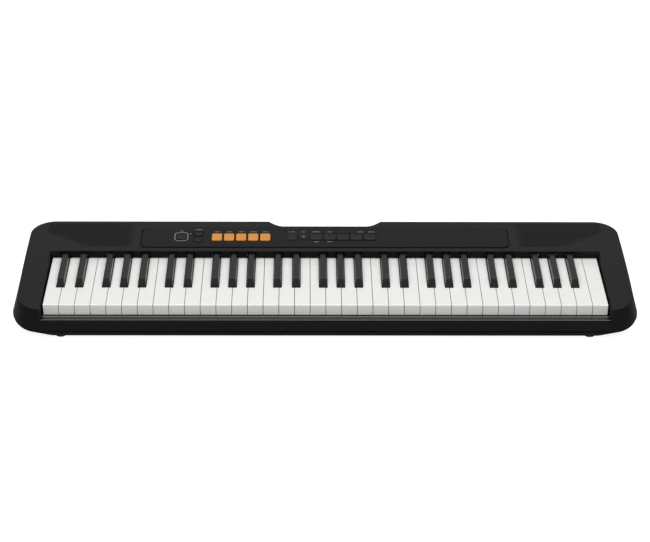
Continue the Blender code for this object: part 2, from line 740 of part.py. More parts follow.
def white_tail(index):
    """Left and right side of the narrow part that runs between the black keys."""
    octave, place = divmod(index, 7)
    left, right = white_span(index)
    room = BLACK_WIDTH / 2 + BLACK_GAP
    below = WHITE_NOTES[place - 1]
    if index > 0 and below in BLACK_SHIFT:
        left = black_centre(octave if place else octave - 1, below) + room
    note = WHITE_NOTES[place]
    if note in BLACK_SHIFT and index < WHITE_COUNT - 1:
        right = black_centre(octave, note) - room
    return left, right


def white_outline(index, inset):
    """Plan of a white key, drawn in by the wall for its hollow."""
    head_left, head_right = white_span(index)
    tail_left, tail_right = white_tail(index)
    shoulder = BLACK_FRONT - BLACK_GAP - inset
    points = [(head_left + inset, KEY_FRONT + inset), (head_right - inset, KEY_FRONT + inset)]
    if tail_right < head_right:
        points += [(head_right - inset, shoulder), (tail_right - inset, shoulder)]
    points += [(tail_right - inset, SHELL_BACK - inset), (tail_left + inset, SHELL_BACK - inset)]
    if tail_left > head_left:
        points += [(tail_left + inset, shoulder), (head_left + inset, shoulder)]
    return points


def open_shell(outer, inner):
    """A moulded key shell, open underneath: outer rings from the rim up, inner rings likewise."""
    bm = bmesh.new()
    outside = skin(bm, outer)
    inside = skin(bm, inner)
    bm.faces.new(outside[-1])
    bm.faces.new(inside[-1])
    rim, lip = outside[0], inside[0]
    for index in range(len(rim)):
        after = (index + 1) % len(rim)
        bm.faces.new((rim[index], rim[after], lip[after], lip[index]))
    return bm


def soften(bm, offset, steps, chosen):
    """Round the edges whose two ends both meet the test."""
    edges = [edge for edge in bm.edges if all(chosen(vertex.co) for vertex in edge.verts)]
    bmesh.ops.bevel(bm, geom=edges, offset=offset, segments=steps, profile=0.5, affect="EDGES")


def white_shell(index):
    """White key: wide head, narrower tail between the black keys, softened front edge."""
    outline = white_outline(index, 0.0)
    hollow = white_outline(index, KEY_WALL)
    bm = open_shell([at_height(outline, WHITE_BOTTOM), at_height(outline, WHITE_TOP)],
                    [at_height(hollow, WHITE_BOTTOM), at_height(hollow, WHITE_TOP - KEY_SKIN)])
    soften(bm, WHITE_EDGE, WHITE_EDGE_STEPS,
           lambda co: abs(co.y - KEY_FRONT) < TOUCH and abs(co.z - WHITE_TOP) < TOUCH)
    return new_object("white", bm)


def black_shell(x):
    """Black key: straight skirt, then sides and ends that lean in to the narrow top."""
    bottom = WHITE_BOTTOM + BLACK_SKIRT_LIFT
    shoulder = WHITE_TOP + BLACK_SHOULDER
    back = SHELL_BACK - BLACK_BACK_ROOM
    top_back = DECK_FRONT + BLACK_TOP_END

    def ring(half, near, far, z):
        return [(x - half, near, z), (x + half, near, z), (x + half, far, z), (x - half, far, z)]

    half = BLACK_WIDTH / 2
    bm = open_shell([
        ring(half, BLACK_FRONT, back, bottom),
        ring(half, BLACK_FRONT, back, shoulder),
        ring(BLACK_TOP_WIDTH / 2, BLACK_FRONT + BLACK_NOSE, top_back, BLACK_TOP),
    ], [
        ring(half - KEY_WALL, BLACK_FRONT + KEY_WALL, back - KEY_WALL, bottom),
        ring(half - KEY_WALL, BLACK_FRONT + KEY_WALL, back - KEY_WALL, shoulder - KEY_SKIN),
    ])
    soften(bm, BLACK_EDGE, BLACK_EDGE_STEPS, lambda co: abs(co.z - BLACK_TOP) < TOUCH)
    return new_object("black", bm)


def bar_level(tier):
    """Middle height of a comb's bar: the three combs of an octave stack on each other."""
    return HINGE_Z + (tier - 1) * (BAR_HEIGHT + BAR_GAP)


def hang_key(bar, shell, x, tier):
    """Join a key shell to its hinge bar by the thin tongue behind it."""
    z = bar_level(tier)
    root = SHELL_BACK - BLACK_BACK_ROOM - TONGUE_ROOT
    tongue = box("tongue", (x - TONGUE_WIDTH / 2, root, z - TONGUE_THICKNESS / 2),
                 (x + TONGUE_WIDTH / 2, HINGE_Y - BAR_DEPTH / 4, z + TONGUE_THICKNESS / 2))
    add(bar, tongue)
    return add(bar, shell)


def hinge_bar(name, left, right, tier, foot_tier):
    """A comb's bar, down to the foot of another tier where it stands alone."""
    low = bar_level(foot_tier) - BAR_HEIGHT / 2
    high = bar_level(tier) + BAR_HEIGHT / 2
    return box(name, (left, HINGE_Y - BAR_DEPTH / 2, low), (right, HINGE_Y + BAR_DEPTH / 2, high))


def key_comb(name, octave, tier, whites, blacks):
    """One moulding with every second white key, or with the five black keys, of an octave."""
    left = -KEY_SPAN / 2 + 7 * octave * WHITE_PITCH + KEY_GAP / 2
    last = 1 if WHITE_COUNT - 1 in whites else 0
    right = left + (7 + last) * WHITE_PITCH - KEY_GAP
    comb = hinge_bar(name, left, right, tier, tier)
    for index in whites:
        hang_key(comb, white_shell(index), sum(white_tail(index)) / 2, tier)
    for note in blacks:
        x = black_centre(octave, note)
        hang_key(comb, black_shell(x), x, tier)
    put_origin(comb, ((left + right) / 2, HINGE_Y, HINGE_Z))
    return comb


def single_key(name, tier, x, half, shell):
    """One key of the middle octave, on its own length of hinge bar."""
    key = hinge_bar(name, x - half, x + half, tier, 0)
    hang_key(key, shell, x, tier)
    put_origin(key, (x, HINGE_Y, HINGE_Z))
    return key


def keys(ivory, ebony):
    """All sixty-one keys: combs for the outer octaves, separate keys for the middle one."""
    for octave in range(OCTAVES):
        first = 7 * octave
        outer = [first + WHITE_NOTES.index(note) for note in "CEGB"]
        inner = [first + WHITE_NOTES.index(note) for note in "DFA"]
        if octave == OCTAVES - 1:
            outer.append(WHITE_COUNT - 1)
        if octave != SINGLE_KEY_OCTAVE:
            dress(key_comb(f"white_comb_cegb_{octave + 1}", octave, 0, outer, ""), ivory)
            dress(key_comb(f"white_comb_dfa_{octave + 1}", octave, 1, inner, ""), ivory)
            dress(key_comb(f"black_comb_{octave + 1}", octave, 2, [], BLACK_SHIFT), ebony)
            continue
        for tier, indices in ((0, outer), (1, inner)):
            for index in indices:
                left, right = white_tail(index)
                name = f"white_key_{WHITE_NOTES[index % 7].lower()}{octave + 2}"
                half = (right - left) / 2
                dress(single_key(name, tier, (left + right) / 2, half, white_shell(index)), ivory)
        for note in BLACK_SHIFT:
            x = black_centre(octave, note)
            name = f"black_key_{note.lower()}_sharp{octave + 2}"
            dress(single_key(name, 2, x, BLACK_WIDTH / 2 - SINGLE_BAR_ROOM, black_shell(x)), ebony)


def key_frame():
    """Long channel that carries the keys: legs, front shelf, guide posts and hinge shelf."""
    base = FRAME_TOP - FRAME_SKIN
    front = FELT_FRONT - FRAME_MARGIN
    shelf_back = FELT_FRONT + FELT_DEPTH + FRAME_MARGIN
    foot = FLOOR_TOP + SEAT
    inner = FRAME_BACK - FRAME_WALL
    bar_floor = bar_level(0) - BAR_HEIGHT / 2 - SEAT
    shelf_front = HINGE_Y - FRAME_MARGIN
    profile = [
        (front, foot), (front + FRAME_WALL, foot), (front + FRAME_WALL, base), (inner, base), (inner, foot),
        (FRAME_BACK, foot), (FRAME_BACK, bar_floor), (shelf_front, bar_floor),
        (shelf_front, bar_floor - FRAME_WALL), (inner, bar_floor - FRAME_WALL), (inner, FRAME_TOP),
        (shelf_back, FRAME_TOP), (shelf_back, SHELF_TOP), (front, SHELF_TOP),
    ]
    half = OPEN_HALF - FRAME_END_ROOM
    frame = extrusion("key_frame", profile, -half, half)
    width = WHITE_PITCH - KEY_GAP - 2 * KEY_WALL - 2 * POST_ROOM
    posts = []
    for index in range(WHITE_COUNT):
        x = sum(white_span(index)) / 2
        posts.append(box("post", (x - width / 2, POST_Y - POST_DEPTH / 2, FRAME_TOP - OVERLAP),
                         (x + width / 2, POST_Y + POST_DEPTH / 2, POST_TOP)))
    return add(frame, gather("posts", posts))


def strip(name, front, depth, low, high, draft=0.0):
    """A long straight strip that runs under all of the keys."""
    half = OPEN_HALF - FRAME_END_ROOM - STRIP_END_ROOM
    profile = [(front, low), (front + depth, low), (front + depth - draft, high), (front + draft, high)]
    return extrusion(name, profile, -half, half)


def ellipse(x, y, z, across, along):
    """Level oval ring with its two half sizes."""
    return [(x + across * a, y + along * b, z) for a, b in circle(0, 0, 1.0, SPEAKER_STEPS)]


def speaker(name, side):
    """Oval speaker: flange under the deck, dished cone, basket and round magnet."""
    x = side * (CASE_HALF - SPEAKER_FROM_END)
    y = FRAME_BACK + SPEAKER_DEPTH / 2
    top = CASE_TOP - CASE_WALL - SEAT
    flange = top - SPEAKER_FLANGE_HEIGHT
    magnet = top - SPEAKER_DROP
    basket = magnet + MAGNET_HEIGHT + BASKET_RISE
    a = SPEAKER_WIDTH / 2
    b = SPEAKER_DEPTH / 2
    inner_a = a - SPEAKER_FLANGE
    inner_b = b - SPEAKER_FLANGE
    cap = top - DUST_CAP_SINK
    oval = SPEAKER_DEPTH / SPEAKER_WIDTH
    rings = [
        ellipse(x, y, magnet, MAGNET_RADIUS, MAGNET_RADIUS),
        ellipse(x, y, magnet + MAGNET_HEIGHT, MAGNET_RADIUS, MAGNET_RADIUS),
        ellipse(x, y, basket, MAGNET_RADIUS + BASKET_FLARE, MAGNET_RADIUS + BASKET_FLARE * oval),
        ellipse(x, y, flange, inner_a, inner_b),
        ellipse(x, y, flange, a, b),
        ellipse(x, y, top, a, b),
        ellipse(x, y, top, inner_a, inner_b),
        ellipse(x, y, cap, DUST_CAP, DUST_CAP),
        ellipse(x, y, cap + DUST_CAP_RISE, DUST_CAP / 2, DUST_CAP / 2),
    ]
    return loft(name, rings)


def socket(name, from_grip, bore, width):
    """Round socket behind the back wall: a block with a nose through the wall and an open bore."""
    x, z = socket_place(from_grip)
    half = SOCKET_BLOCK_HEIGHT / 2
    face = back_wall(z + half, CASE_WALL) - SEAT
    tip = back_wall(z + SOCKET_NOSE) - SEAT
    back = face - SOCKET_BLOCK_DEPTH
    block = box(name, (x - width / 2, back, z - half), (x + width / 2, face, z + half))

    def ring(radius, y, steps):
        return [(x + a, y, z + b) for a, b in circle(0, 0, radius, steps)]

    nose = [ring(SOCKET_NOSE, tip, SOCKET_STEPS), ring(SOCKET_NOSE, face - 2 * OVERLAP, SOCKET_STEPS)]
    add(block, loft("nose", nose))
    bottom = face - SOCKET_BORE_DEPTH
    hole = [ring(bore / 2, tip + PASS, BORE_STEPS), ring(bore / 2, bottom, BORE_STEPS)]
    return cut(block, loft("bore", hole))


def foot(name, x, y):
    """Turned rubber foot, pressed into its shallow pocket."""
    top = FOOT_PROUD + FOOT_POCKET - SEAT
    rings = [at_height(circle(x, y, FOOT_RADIUS - FOOT_BEVEL, FOOT_STEPS), 0.0),
             at_height(circle(x, y, FOOT_RADIUS, FOOT_STEPS), FOOT_BEVEL),
             at_height(circle(x, y, FOOT_RADIUS, FOOT_STEPS), top)]
    return loft(name, rings)


def battery_door():
    """Flat door with a thumb recess, flush with the underside."""
    room = SLIDE_GAP
    door = box("battery_door", (BAY_LEFT + room, BAY_FRONT + room, FOOT_PROUD),
               (BAY_RIGHT - room, BAY_BACK - room, FOOT_PROUD + DOOR_THICKNESS))
    x = (BAY_LEFT + BAY_RIGHT) / 2
    thumb = rounded_rectangle(x, BAY_BACK - THUMB_FROM_EDGE, THUMB_WIDTH, THUMB_DEPTH, THUMB_CORNER)
    cut(door, prism("thumb", thumb, 0.0, FOOT_PROUD + THUMB_SINK))
    put_origin(door, (x, (BAY_FRONT + BAY_BACK) / 2, FOOT_PROUD))
    return door


def battery_contact(name, side):
    """Sprung plate at one end of the bay, with a round pad for each cell."""
    left = BAY_LEFT + SEAT if side < 0 else BAY_RIGHT - SEAT - CONTACT_THICKNESS
    low = FLOOR_TOP + DOOR_LAND + CONTACT_LIFT
    near = BAY_FRONT + CONTACT_SIDE_ROOM
    far = BAY_BACK - CONTACT_SIDE_ROOM
    plate = box(name, (left, near, low), (left + CONTACT_THICKNESS, far, low + CONTACT_HEIGHT))
    root = left + CONTACT_THICKNESS / 2
    tip = root - side * PAD_RISE
    z = low + CONTACT_HEIGHT / 2
    for place in range(3):
        y = BAY_FRONT + CELL_DIAMETER * (place + 0.5) + BAY_SIDE_ROOM / 2
        rings = [[(x, y + a, z + b) for a, b in circle(0, 0, radius, POST_STEPS)]
                 for x, radius in ((root, PAD_RADIUS), (tip, PAD_TIP_RADIUS))]
        add(plate, loft("pad", rings))
    return plate


def build():
    """Make every piece and give it its finish."""
    matt_black = finish("textured_abs_black", "323232", 0.55)
    panel_black = finish("panel_abs_black", "2D2D2D", 0.42)
    ivory = finish("key_resin_white", "E9E9E6", 0.22)
    ebony = finish("key_resin_black", "1F1F20", 0.35)
    orange = finish("button_orange", "E8962E", 0.35)
    dark = finish("button_dark", "262627", 0.38)
    grey = finish("frame_abs_grey", "8A8A88", 0.6)
    rubber = finish("foot_rubber", "1A1A1A", 0.8)
    felt = finish("stop_felt", "7A2A22", 0.95)
    silicone = finish("contact_silicone", "9A9A94", 0.7)
    board = finish("board_green", "1E5A34", 0.5)
    cone = finish("speaker_paper", "1B1B1C", 0.7)
    steel = finish("plated_steel", "B8B8B4", 0.3, 1.0)
    socket_black = finish("socket_nylon", "18181A", 0.45)

    dress(upper_case(), matt_black)
    dress(lower_case(), matt_black)
    dress(control_panel(), panel_black)
    for name, *shape in button_list():
        dress(button_cap(name, *shape), orange if name.startswith("tone") else dark)
    keys(ivory, ebony)
    dress(key_frame(), grey)
    dress(strip("down_stop_felt", FELT_FRONT, FELT_DEPTH, FELT_TOP - FELT_HEIGHT, FELT_TOP), felt)
    board_low = FRAME_TOP + SEAT
    board_front = STRIP_FRONT + (STRIP_DEPTH - CONTACT_BOARD_DEPTH) / 2
    board_top = board_low + BOARD_THICKNESS
    dress(strip("key_contact_board", board_front, CONTACT_BOARD_DEPTH, board_low, board_top), board)
    strip_low = board_top + SEAT
    strip_top = WHITE_BOTTOM - drop(STRIP_FRONT, WHITE_SWING) - SEAT
    dress(strip("contact_strip", STRIP_FRONT, STRIP_DEPTH, strip_low, strip_top, STRIP_DRAFT), silicone)
    dress(button_board(), board)
    main_back = MAIN_BOARD_FRONT + MAIN_BOARD_DEPTH
    main_top = MAIN_BOARD_Z + BOARD_THICKNESS
    dress(box("main_board", (MAIN_BOARD_LEFT, MAIN_BOARD_FRONT, MAIN_BOARD_Z),
              (MAIN_BOARD_RIGHT, main_back, main_top)), board)
    dress(speaker("speaker_left", -1), cone)
    dress(speaker("speaker_right", 1), cone)
    for name, from_grip, bore, width in SOCKETS:
        dress(socket(name, from_grip, bore, width), socket_black)
    dress(battery_door(), matt_black)
    dress(battery_contact("battery_contact_left", -1), steel)
    dress(battery_contact("battery_contact_right", 1), steel)
    for name, (x, y) in zip(("front_left", "front_right", "back_left", "back_right"), foot_places()):
        dress(foot(f"foot_{name}", x, y), rubber)


build()
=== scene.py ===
import math

import bpy
import bmesh
import numpy as np
from mathutils import Matrix, Vector
from mathutils.geometry import delaunay_2d_cdt


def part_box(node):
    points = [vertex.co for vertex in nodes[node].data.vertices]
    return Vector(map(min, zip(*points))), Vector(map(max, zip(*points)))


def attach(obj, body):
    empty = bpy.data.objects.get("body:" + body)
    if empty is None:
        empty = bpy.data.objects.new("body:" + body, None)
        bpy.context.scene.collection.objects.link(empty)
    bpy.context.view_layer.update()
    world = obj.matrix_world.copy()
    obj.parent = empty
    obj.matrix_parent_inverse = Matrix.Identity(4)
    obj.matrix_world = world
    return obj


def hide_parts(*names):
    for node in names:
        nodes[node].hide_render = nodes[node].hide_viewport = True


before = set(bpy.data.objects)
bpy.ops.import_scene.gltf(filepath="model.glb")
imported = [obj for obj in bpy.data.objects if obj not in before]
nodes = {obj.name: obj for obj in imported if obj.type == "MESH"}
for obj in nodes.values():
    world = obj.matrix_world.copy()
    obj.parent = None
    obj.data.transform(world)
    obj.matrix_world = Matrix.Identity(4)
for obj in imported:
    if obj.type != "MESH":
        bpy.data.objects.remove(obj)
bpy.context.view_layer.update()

# ---------------------------------------------------------------- lower case
# The bottom tray: one injection moulding in black ABS with a fine spark-eroded grain. It carries the
# frame, the boards and the speakers, and ten screws through it pull the upper case down on to it.


def linear(shade):
    """sRGB hex shade to linear colour: the standard piecewise curve, channel by channel."""
    parts = [int(shade[place:place + 2], 16) / 255 for place in (0, 2, 4)]
    return (*[part / 12.92 if part <= 0.04045 else ((part + 0.055) / 1.055) ** 2.4 for part in parts], 1.0)


def place_node(tree, kind, values=None, links=None, **settings):
    """Adds a shader node, or takes one that is there, with its settings, input values and links."""
    made = tree.nodes.new(kind) if isinstance(kind, str) else kind
    for key, value in settings.items():
        setattr(made, key, value)
    for key, value in (values or {}).items():
        made.inputs[key].default_value = value
    for key, (source, output) in (links or {}).items():
        tree.links.new(source.outputs[output], made.inputs[key])
    return made


def grained_plastic(name, low, high, grain, depth, rough_low, rough_high, strength=0.5, shine=0.5):
    """A moulded plastic: grain is the size of its mould texture in metres, depth its height.

    One noise field at the grain's size lifts the surface and mixes the two shades; the same
    field, taken the other way, makes the raised spots a little smoother than the hollows.
    Most of the noise lies between the hollow and the peak. Real mould grain is about 0.1 mm, under a
    pixel in the camera's view, so it is drawn at 0.6 to 0.9 mm. Shine is the specular level: reflections
    see the white surroundings at full strength, so most blacks take less than the usual half.
    """
    hollow, peak = 0.3, 0.7
    material = bpy.data.materials.new(name)
    material.use_nodes = True
    tree = material.node_tree
    shader = tree.nodes["Principled BSDF"]
    where = place_node(tree, "ShaderNodeTexCoord")
    noise = place_node(tree, "ShaderNodeTexNoise", {"Scale": 1 / grain, "Detail": 2.0, "Roughness": 0.55},
                       {"Vector": (where, "Object")})
    shades = place_node(tree, "ShaderNodeValToRGB", links={"Fac": (noise, "Fac")})
    for stop, place, shade in zip(shades.color_ramp.elements, (hollow, peak), (low, high)):
        stop.position = place
        stop.color = linear(shade)
    rough = place_node(tree, "ShaderNodeMapRange", {"From Min": hollow, "From Max": peak,
                       "To Min": rough_high, "To Max": rough_low}, {"Value": (noise, "Fac")})
    bump = place_node(tree, "ShaderNodeBump", {"Strength": strength, "Distance": depth},
                      {"Height": (noise, "Fac")})
    place_node(tree, shader, {"Specular IOR Level": shine},
               {"Base Color": (shades, "Color"), "Roughness": (rough, "Result"), "Normal": (bump, "Normal")})
    return material


def wear(material, *names):
    """Gives CAD nodes a finish in their own material slots."""
    for name in names:
        for slot in nodes[name].material_slots:
            slot.link = "DATA"
            slot.material = material


# Both halves of the case share one outline. All sizes are in metres. The belt is the seam between them,
# the crown begins to fall at its end, and the notch in the back wall is the carrying grip.
CASE_HALF = 0.465
CASE_HALF_DEPTH = 0.128
CASE_CORNER = 0.040
BELT = 0.029
CROWN_END = 0.060
OPENING_HALF = 0.426
NOTCH_MOUTH = 0.089
NOTCH_FLOOR = 0.0655
NOTCH_DEPTH = 0.0152
SOCKET_PATCH = (0.145, 0.225, 0.036, 0.054)
CORNER_POINTS = 25
FLANK_POINTS = 19
NOTCH_POINTS = 17


def right_outline(side, front, back, corner=None, sweep=None, from_opening=False):
    """Right half of the plan, drawn in: quarter ellipse, side, quarter circle, back wall, half of the notch.

    Without a corner radius, or from the opening, it starts on the line of the key opening's side. The
    sweep gives the two half axes of the front corner, which is a quarter circle without it. The notch
    falls in with a quarter of a sine.
    """
    half = CASE_HALF - side
    near = -CASE_HALF_DEPTH + front
    far = CASE_HALF_DEPTH - back
    radius = corner or CASE_CORNER - side
    middle = half - radius
    wide, deep = sweep or (radius, radius)
    begin = -math.acos((OPENING_HALF - half + wide) / wide) if from_opening or not corner else -math.pi / 2
    turn = np.linspace(begin, 0.0, CORNER_POINTS)
    first = np.stack([half - wide + wide * np.cos(turn), near + deep + deep * np.sin(turn)], -1)
    rise = np.linspace(first[-1, 1], CROWN_END, FLANK_POINTS)[1:]
    flank = np.stack([np.full_like(rise, half), rise], -1)
    turn = np.linspace(0.0, math.pi / 2, CORNER_POINTS)
    second = np.stack([middle + radius * np.cos(turn), far - radius + radius * np.sin(turn)], -1)
    rear = np.array([(SOCKET_PATCH[1], far), (SOCKET_PATCH[0], far)])
    share = np.linspace(0.0, 1.0, NOTCH_POINTS)
    notch = np.stack([NOTCH_MOUTH - (NOTCH_MOUTH - NOTCH_FLOOR) * share,
                      far - NOTCH_DEPTH * np.sin(share * math.pi / 2)], -1)
    return np.concatenate([first, flank, second, rear, notch])


def mirrored(right):
    """A right half and its mirror image, as one run of points from right to left."""
    return np.concatenate([right, (right * (-1, 1))[::-1]])


def raised(plan, heights):
    """Plan points with their heights, or with one height for all."""
    return np.concatenate([plan, np.broadcast_to(heights, len(plan))[:, None]], -1)


def band(rings, closed):
    """Quads between neighbouring rings of the same count: a grid in ring and place along the ring."""
    rings = np.asarray(rings)
    index = np.arange(rings.shape[0] * rings.shape[1]).reshape(rings.shape[:2])
    after = np.roll(index, -1, 1) if closed else index[:, 1:]
    index = index if closed else index[:, :-1]
    quads = np.stack([index[:-1], after[:-1], after[1:], index[1:]], -1)
    return rings.reshape(-1, 3), quads.reshape(-1, 4)


SKIN_REACH = 1e-9


def skin(outer, holes, rows=()):
    """Flat skin between an outer edge and round or rounded holes: triangles that use only their points.

    Rows are pairs of outer points that an edge has to join. A triangle is kept when its middle lies
    inside the outer edge, by the count of edges to its right, and when its corners aren't all on one hole.
    """
    loops = [np.asarray(outer)] + [np.asarray(hole) for hole in holes]
    count = np.array([len(loop) for loop in loops])
    start = np.cumsum(count) - count
    edges = np.concatenate([first + np.stack([np.arange(n), (np.arange(n) + 1) % n], -1)
                            for first, n in zip(start, count)])
    edges = edges.tolist() + [list(row) for row in rows]
    points = [Vector(point) for point in np.concatenate(loops).tolist()]
    found = delaunay_2d_cdt(points, edges, [], 0, SKIN_REACH)
    place = np.array([tuple(point) for point in found[0]])
    owner = np.repeat(np.arange(len(loops)), count)
    owner = owner[[came_from[0] for came_from in found[3]]]
    triangles = np.array(found[2])
    middle = place[triangles].mean(1)
    begin = loops[0]
    end = np.roll(begin, -1, 0)
    across = (begin[:, 1] > middle[:, None, 1]) != (end[:, 1] > middle[:, None, 1])
    slope = np.where(end[:, 1] == begin[:, 1], 1.0, end[:, 1] - begin[:, 1])
    meet = begin[:, 0] + (middle[:, None, 1] - begin[:, 1]) * (end[:, 0] - begin[:, 0]) / slope
    inside = (across & (meet > middle[:, None, 0])).sum(1) % 2 == 1
    held = owner[triangles]
    solid = (held[:, 0] == 0) | (held[:, 0] != held[:, 1]) | (held[:, 1] != held[:, 2])
    return place, triangles[inside & solid]


SEAM_REACH = 2e-6


def sew(name, patches, thickness=None, angle=35.0, face_down=False):
    """One mesh from patches of points and faces: seams merged, faces turned outwards, given a wall.

    An open skin has its outer side on top, or below when it faces down.
    """
    mesh = bpy.data.meshes.new(name)
    points = np.concatenate([patch[0] for patch in patches])
    start = np.cumsum([0] + [len(patch[0]) for patch in patches])
    faces = []
    for (place, corners), first in zip(patches, start):
        faces += (np.asarray(corners) + first).tolist()
    mesh.from_pydata(points.tolist(), [], faces)
    form = bmesh.new()
    form.from_mesh(mesh)
    bmesh.ops.remove_doubles(form, verts=form.verts, dist=SEAM_REACH)
    bmesh.ops.recalc_face_normals(form, faces=form.faces)
    upward = sum(face.normal.z * face.calc_area() for face in form.faces) > 0
    if thickness and upward == face_down:
        bmesh.ops.reverse_faces(form, faces=form.faces)
    form.to_mesh(mesh)
    form.free()
    piece = bpy.data.objects.new(name, mesh)
    bpy.context.scene.collection.objects.link(piece)
    if thickness:
        wall = piece.modifiers.new("wall", "SOLIDIFY")
        wall.thickness = thickness
        wall.offset = -1.0
        wall.use_even_offset = True
        solid = piece.evaluated_get(bpy.context.evaluated_depsgraph_get())
        walled = bpy.data.meshes.new_from_object(solid)
        walled.name = name
        piece.modifiers.clear()
        piece.data = walled
    piece.data.shade_smooth()
    piece.data.set_sharp_from_angle(angle=math.radians(angle))
    flat = piece.modifiers.new("flat faces stay flat", "WEIGHTED_NORMAL")
    flat.weight = 100
    flat.keep_sharp = True
    return piece


def finished(piece, material, body, *replaced):
    """Gives a piece its material and its body, and lets it stand for CAD nodes."""
    piece.data.materials.clear()
    piece.data.materials.append(material)
    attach(piece, body)
    if replaced:
        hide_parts(*replaced)
    return piece


def rounded(x, y, width, depth, corner, steps=6):
    """Rounded rectangle, anticlockwise: a quarter circle at each corner."""
    turn = np.linspace(0.0, math.pi / 2, steps + 1)
    arc = np.stack([np.cos(turn), np.sin(turn)], -1) * corner
    across, along = width / 2 - corner, depth / 2 - corner
    spin = np.array([[0.0, -1.0], [1.0, 0.0]])
    parts = []
    for sign_x, sign_y in ((1, 1), (-1, 1), (-1, -1), (1, -1)):
        parts.append(arc + (x + sign_x * across, y + sign_y * along))
        arc = arc @ spin.T
    return np.concatenate(parts)


def widened(gap, x, y, width, depth, corner):
    """A rounded rectangle's place and size, with a gap added all round."""
    return x, y, width + 2 * gap, depth + 2 * gap, corner + gap


def circles(middles, radii, sides, start=0.0):
    """Rings of points round many middles at once."""
    turn = start + np.arange(sides) * 2 * math.pi / sides
    ring = np.stack([np.cos(turn), np.sin(turn)], -1)
    return np.asarray(middles)[:, None, :] + ring[None] * np.asarray(radii)[:, None, None]


# The tray's side: a short upright edge under the belt, then a long slope under the case, so that the
# instrument looks thin. Each row has a height, the insets from the side, the front and the back, and the
# radius of the back corner; the front corner reaches further back than it is wide.
TRAY_BOTTOM = 0.005
TRAY_SEAM = 0.0287
TRAY_WALL = 0.0022
TRAY_SWEEP = 1.41
TRAY_SIDES = ((TRAY_SEAM, -0.0081, 0.0004, 0.0004, 0.0456), (0.0268, -0.0077, 0.0008, 0.0006, 0.0452),
              (0.0258, -0.0069, 0.0016, 0.0010, 0.0444), (0.0072, 0.0330, 0.0226, 0.0088, 0.0220),
              (0.0058, 0.0360, 0.0244, 0.0100, 0.0205), (TRAY_BOTTOM, 0.0390, 0.0262, 0.0116, 0.0190),
              (TRAY_BOTTOM, 0.0396, 0.0268, 0.0122, 0.0184))
tray_rings = [raised(mirrored(right_outline(*insets, corner, (corner, corner * TRAY_SWEEP))), height)
              for height, *insets, corner in TRAY_SIDES]
bottom_edge = tray_rings[-1][:, :2]

# Ten screw wells, four foot pockets and the mouth of the battery bay open the flat bottom
FOOT_PLACES = [(x, y) for x in (-0.400, 0.400) for y in (-0.090, 0.090)]
FOOT_HOLE = 0.0103
SCREW_PLACES = [(x, y) for x in (-0.385, -0.192, 0.0, 0.192, 0.385) for y in (-0.080, 0.060)]
FOOT_POCKET = 0.001
FOOT_SIDES = 48
WELL_MOUTH = 0.0048
WELL_LEAD = 0.0004
WELL_FLOOR = 0.0040
WELL_BORE = 0.0016
WELL_DEPTH = 0.0090
WELL_SIDES = 24
low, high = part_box("battery_door")
DOOR_GAP = 0.0004
DOOR_CORNER = 0.0008
door_mouth = rounded(*widened(DOOR_GAP, (low.x + high.x) / 2, (low.y + high.y) / 2, high.x - low.x,
                              high.y - low.y, DOOR_CORNER), 4)
well_mouths = circles(SCREW_PLACES, [WELL_MOUTH] * len(SCREW_PLACES), WELL_SIDES)
foot_holes = circles(FOOT_PLACES, [FOOT_HOLE] * len(FOOT_PLACES), FOOT_SIDES)
flat, corners = skin(bottom_edge, [door_mouth, *well_mouths, *foot_holes])
bottom = (raised(flat, TRAY_BOTTOM), corners)
WELL_STEPS = ((WELL_MOUTH, 0.0), (WELL_MOUTH - WELL_LEAD, WELL_LEAD), (WELL_FLOOR, WELL_DEPTH),
              (WELL_BORE, WELL_DEPTH))
wells = [band([raised(circles([place], [radius], WELL_SIDES)[0], TRAY_BOTTOM + depth)
               for radius, depth in WELL_STEPS], True) for place in SCREW_PLACES]
foot_walls = [band([raised(ring, TRAY_BOTTOM), raised(ring, TRAY_BOTTOM + FOOT_POCKET)], True)
              for ring in foot_holes]

# ABS, moulded against a spark-eroded tool: a matt, even, slightly sparkling black.
TRAY_ABS = grained_plastic("moulded_abs_tray_black", "0C0C0C", "121212", 0.0007, 0.00005, 0.75, 0.85,
                           shine=0.01)
tray = sew("bottom_tray", [band(tray_rings, True), bottom, *wells, *foot_walls], TRAY_WALL, face_down=True)
finished(tray, TRAY_ABS, "case", "lower_case")
wear(TRAY_ABS, "battery_door")

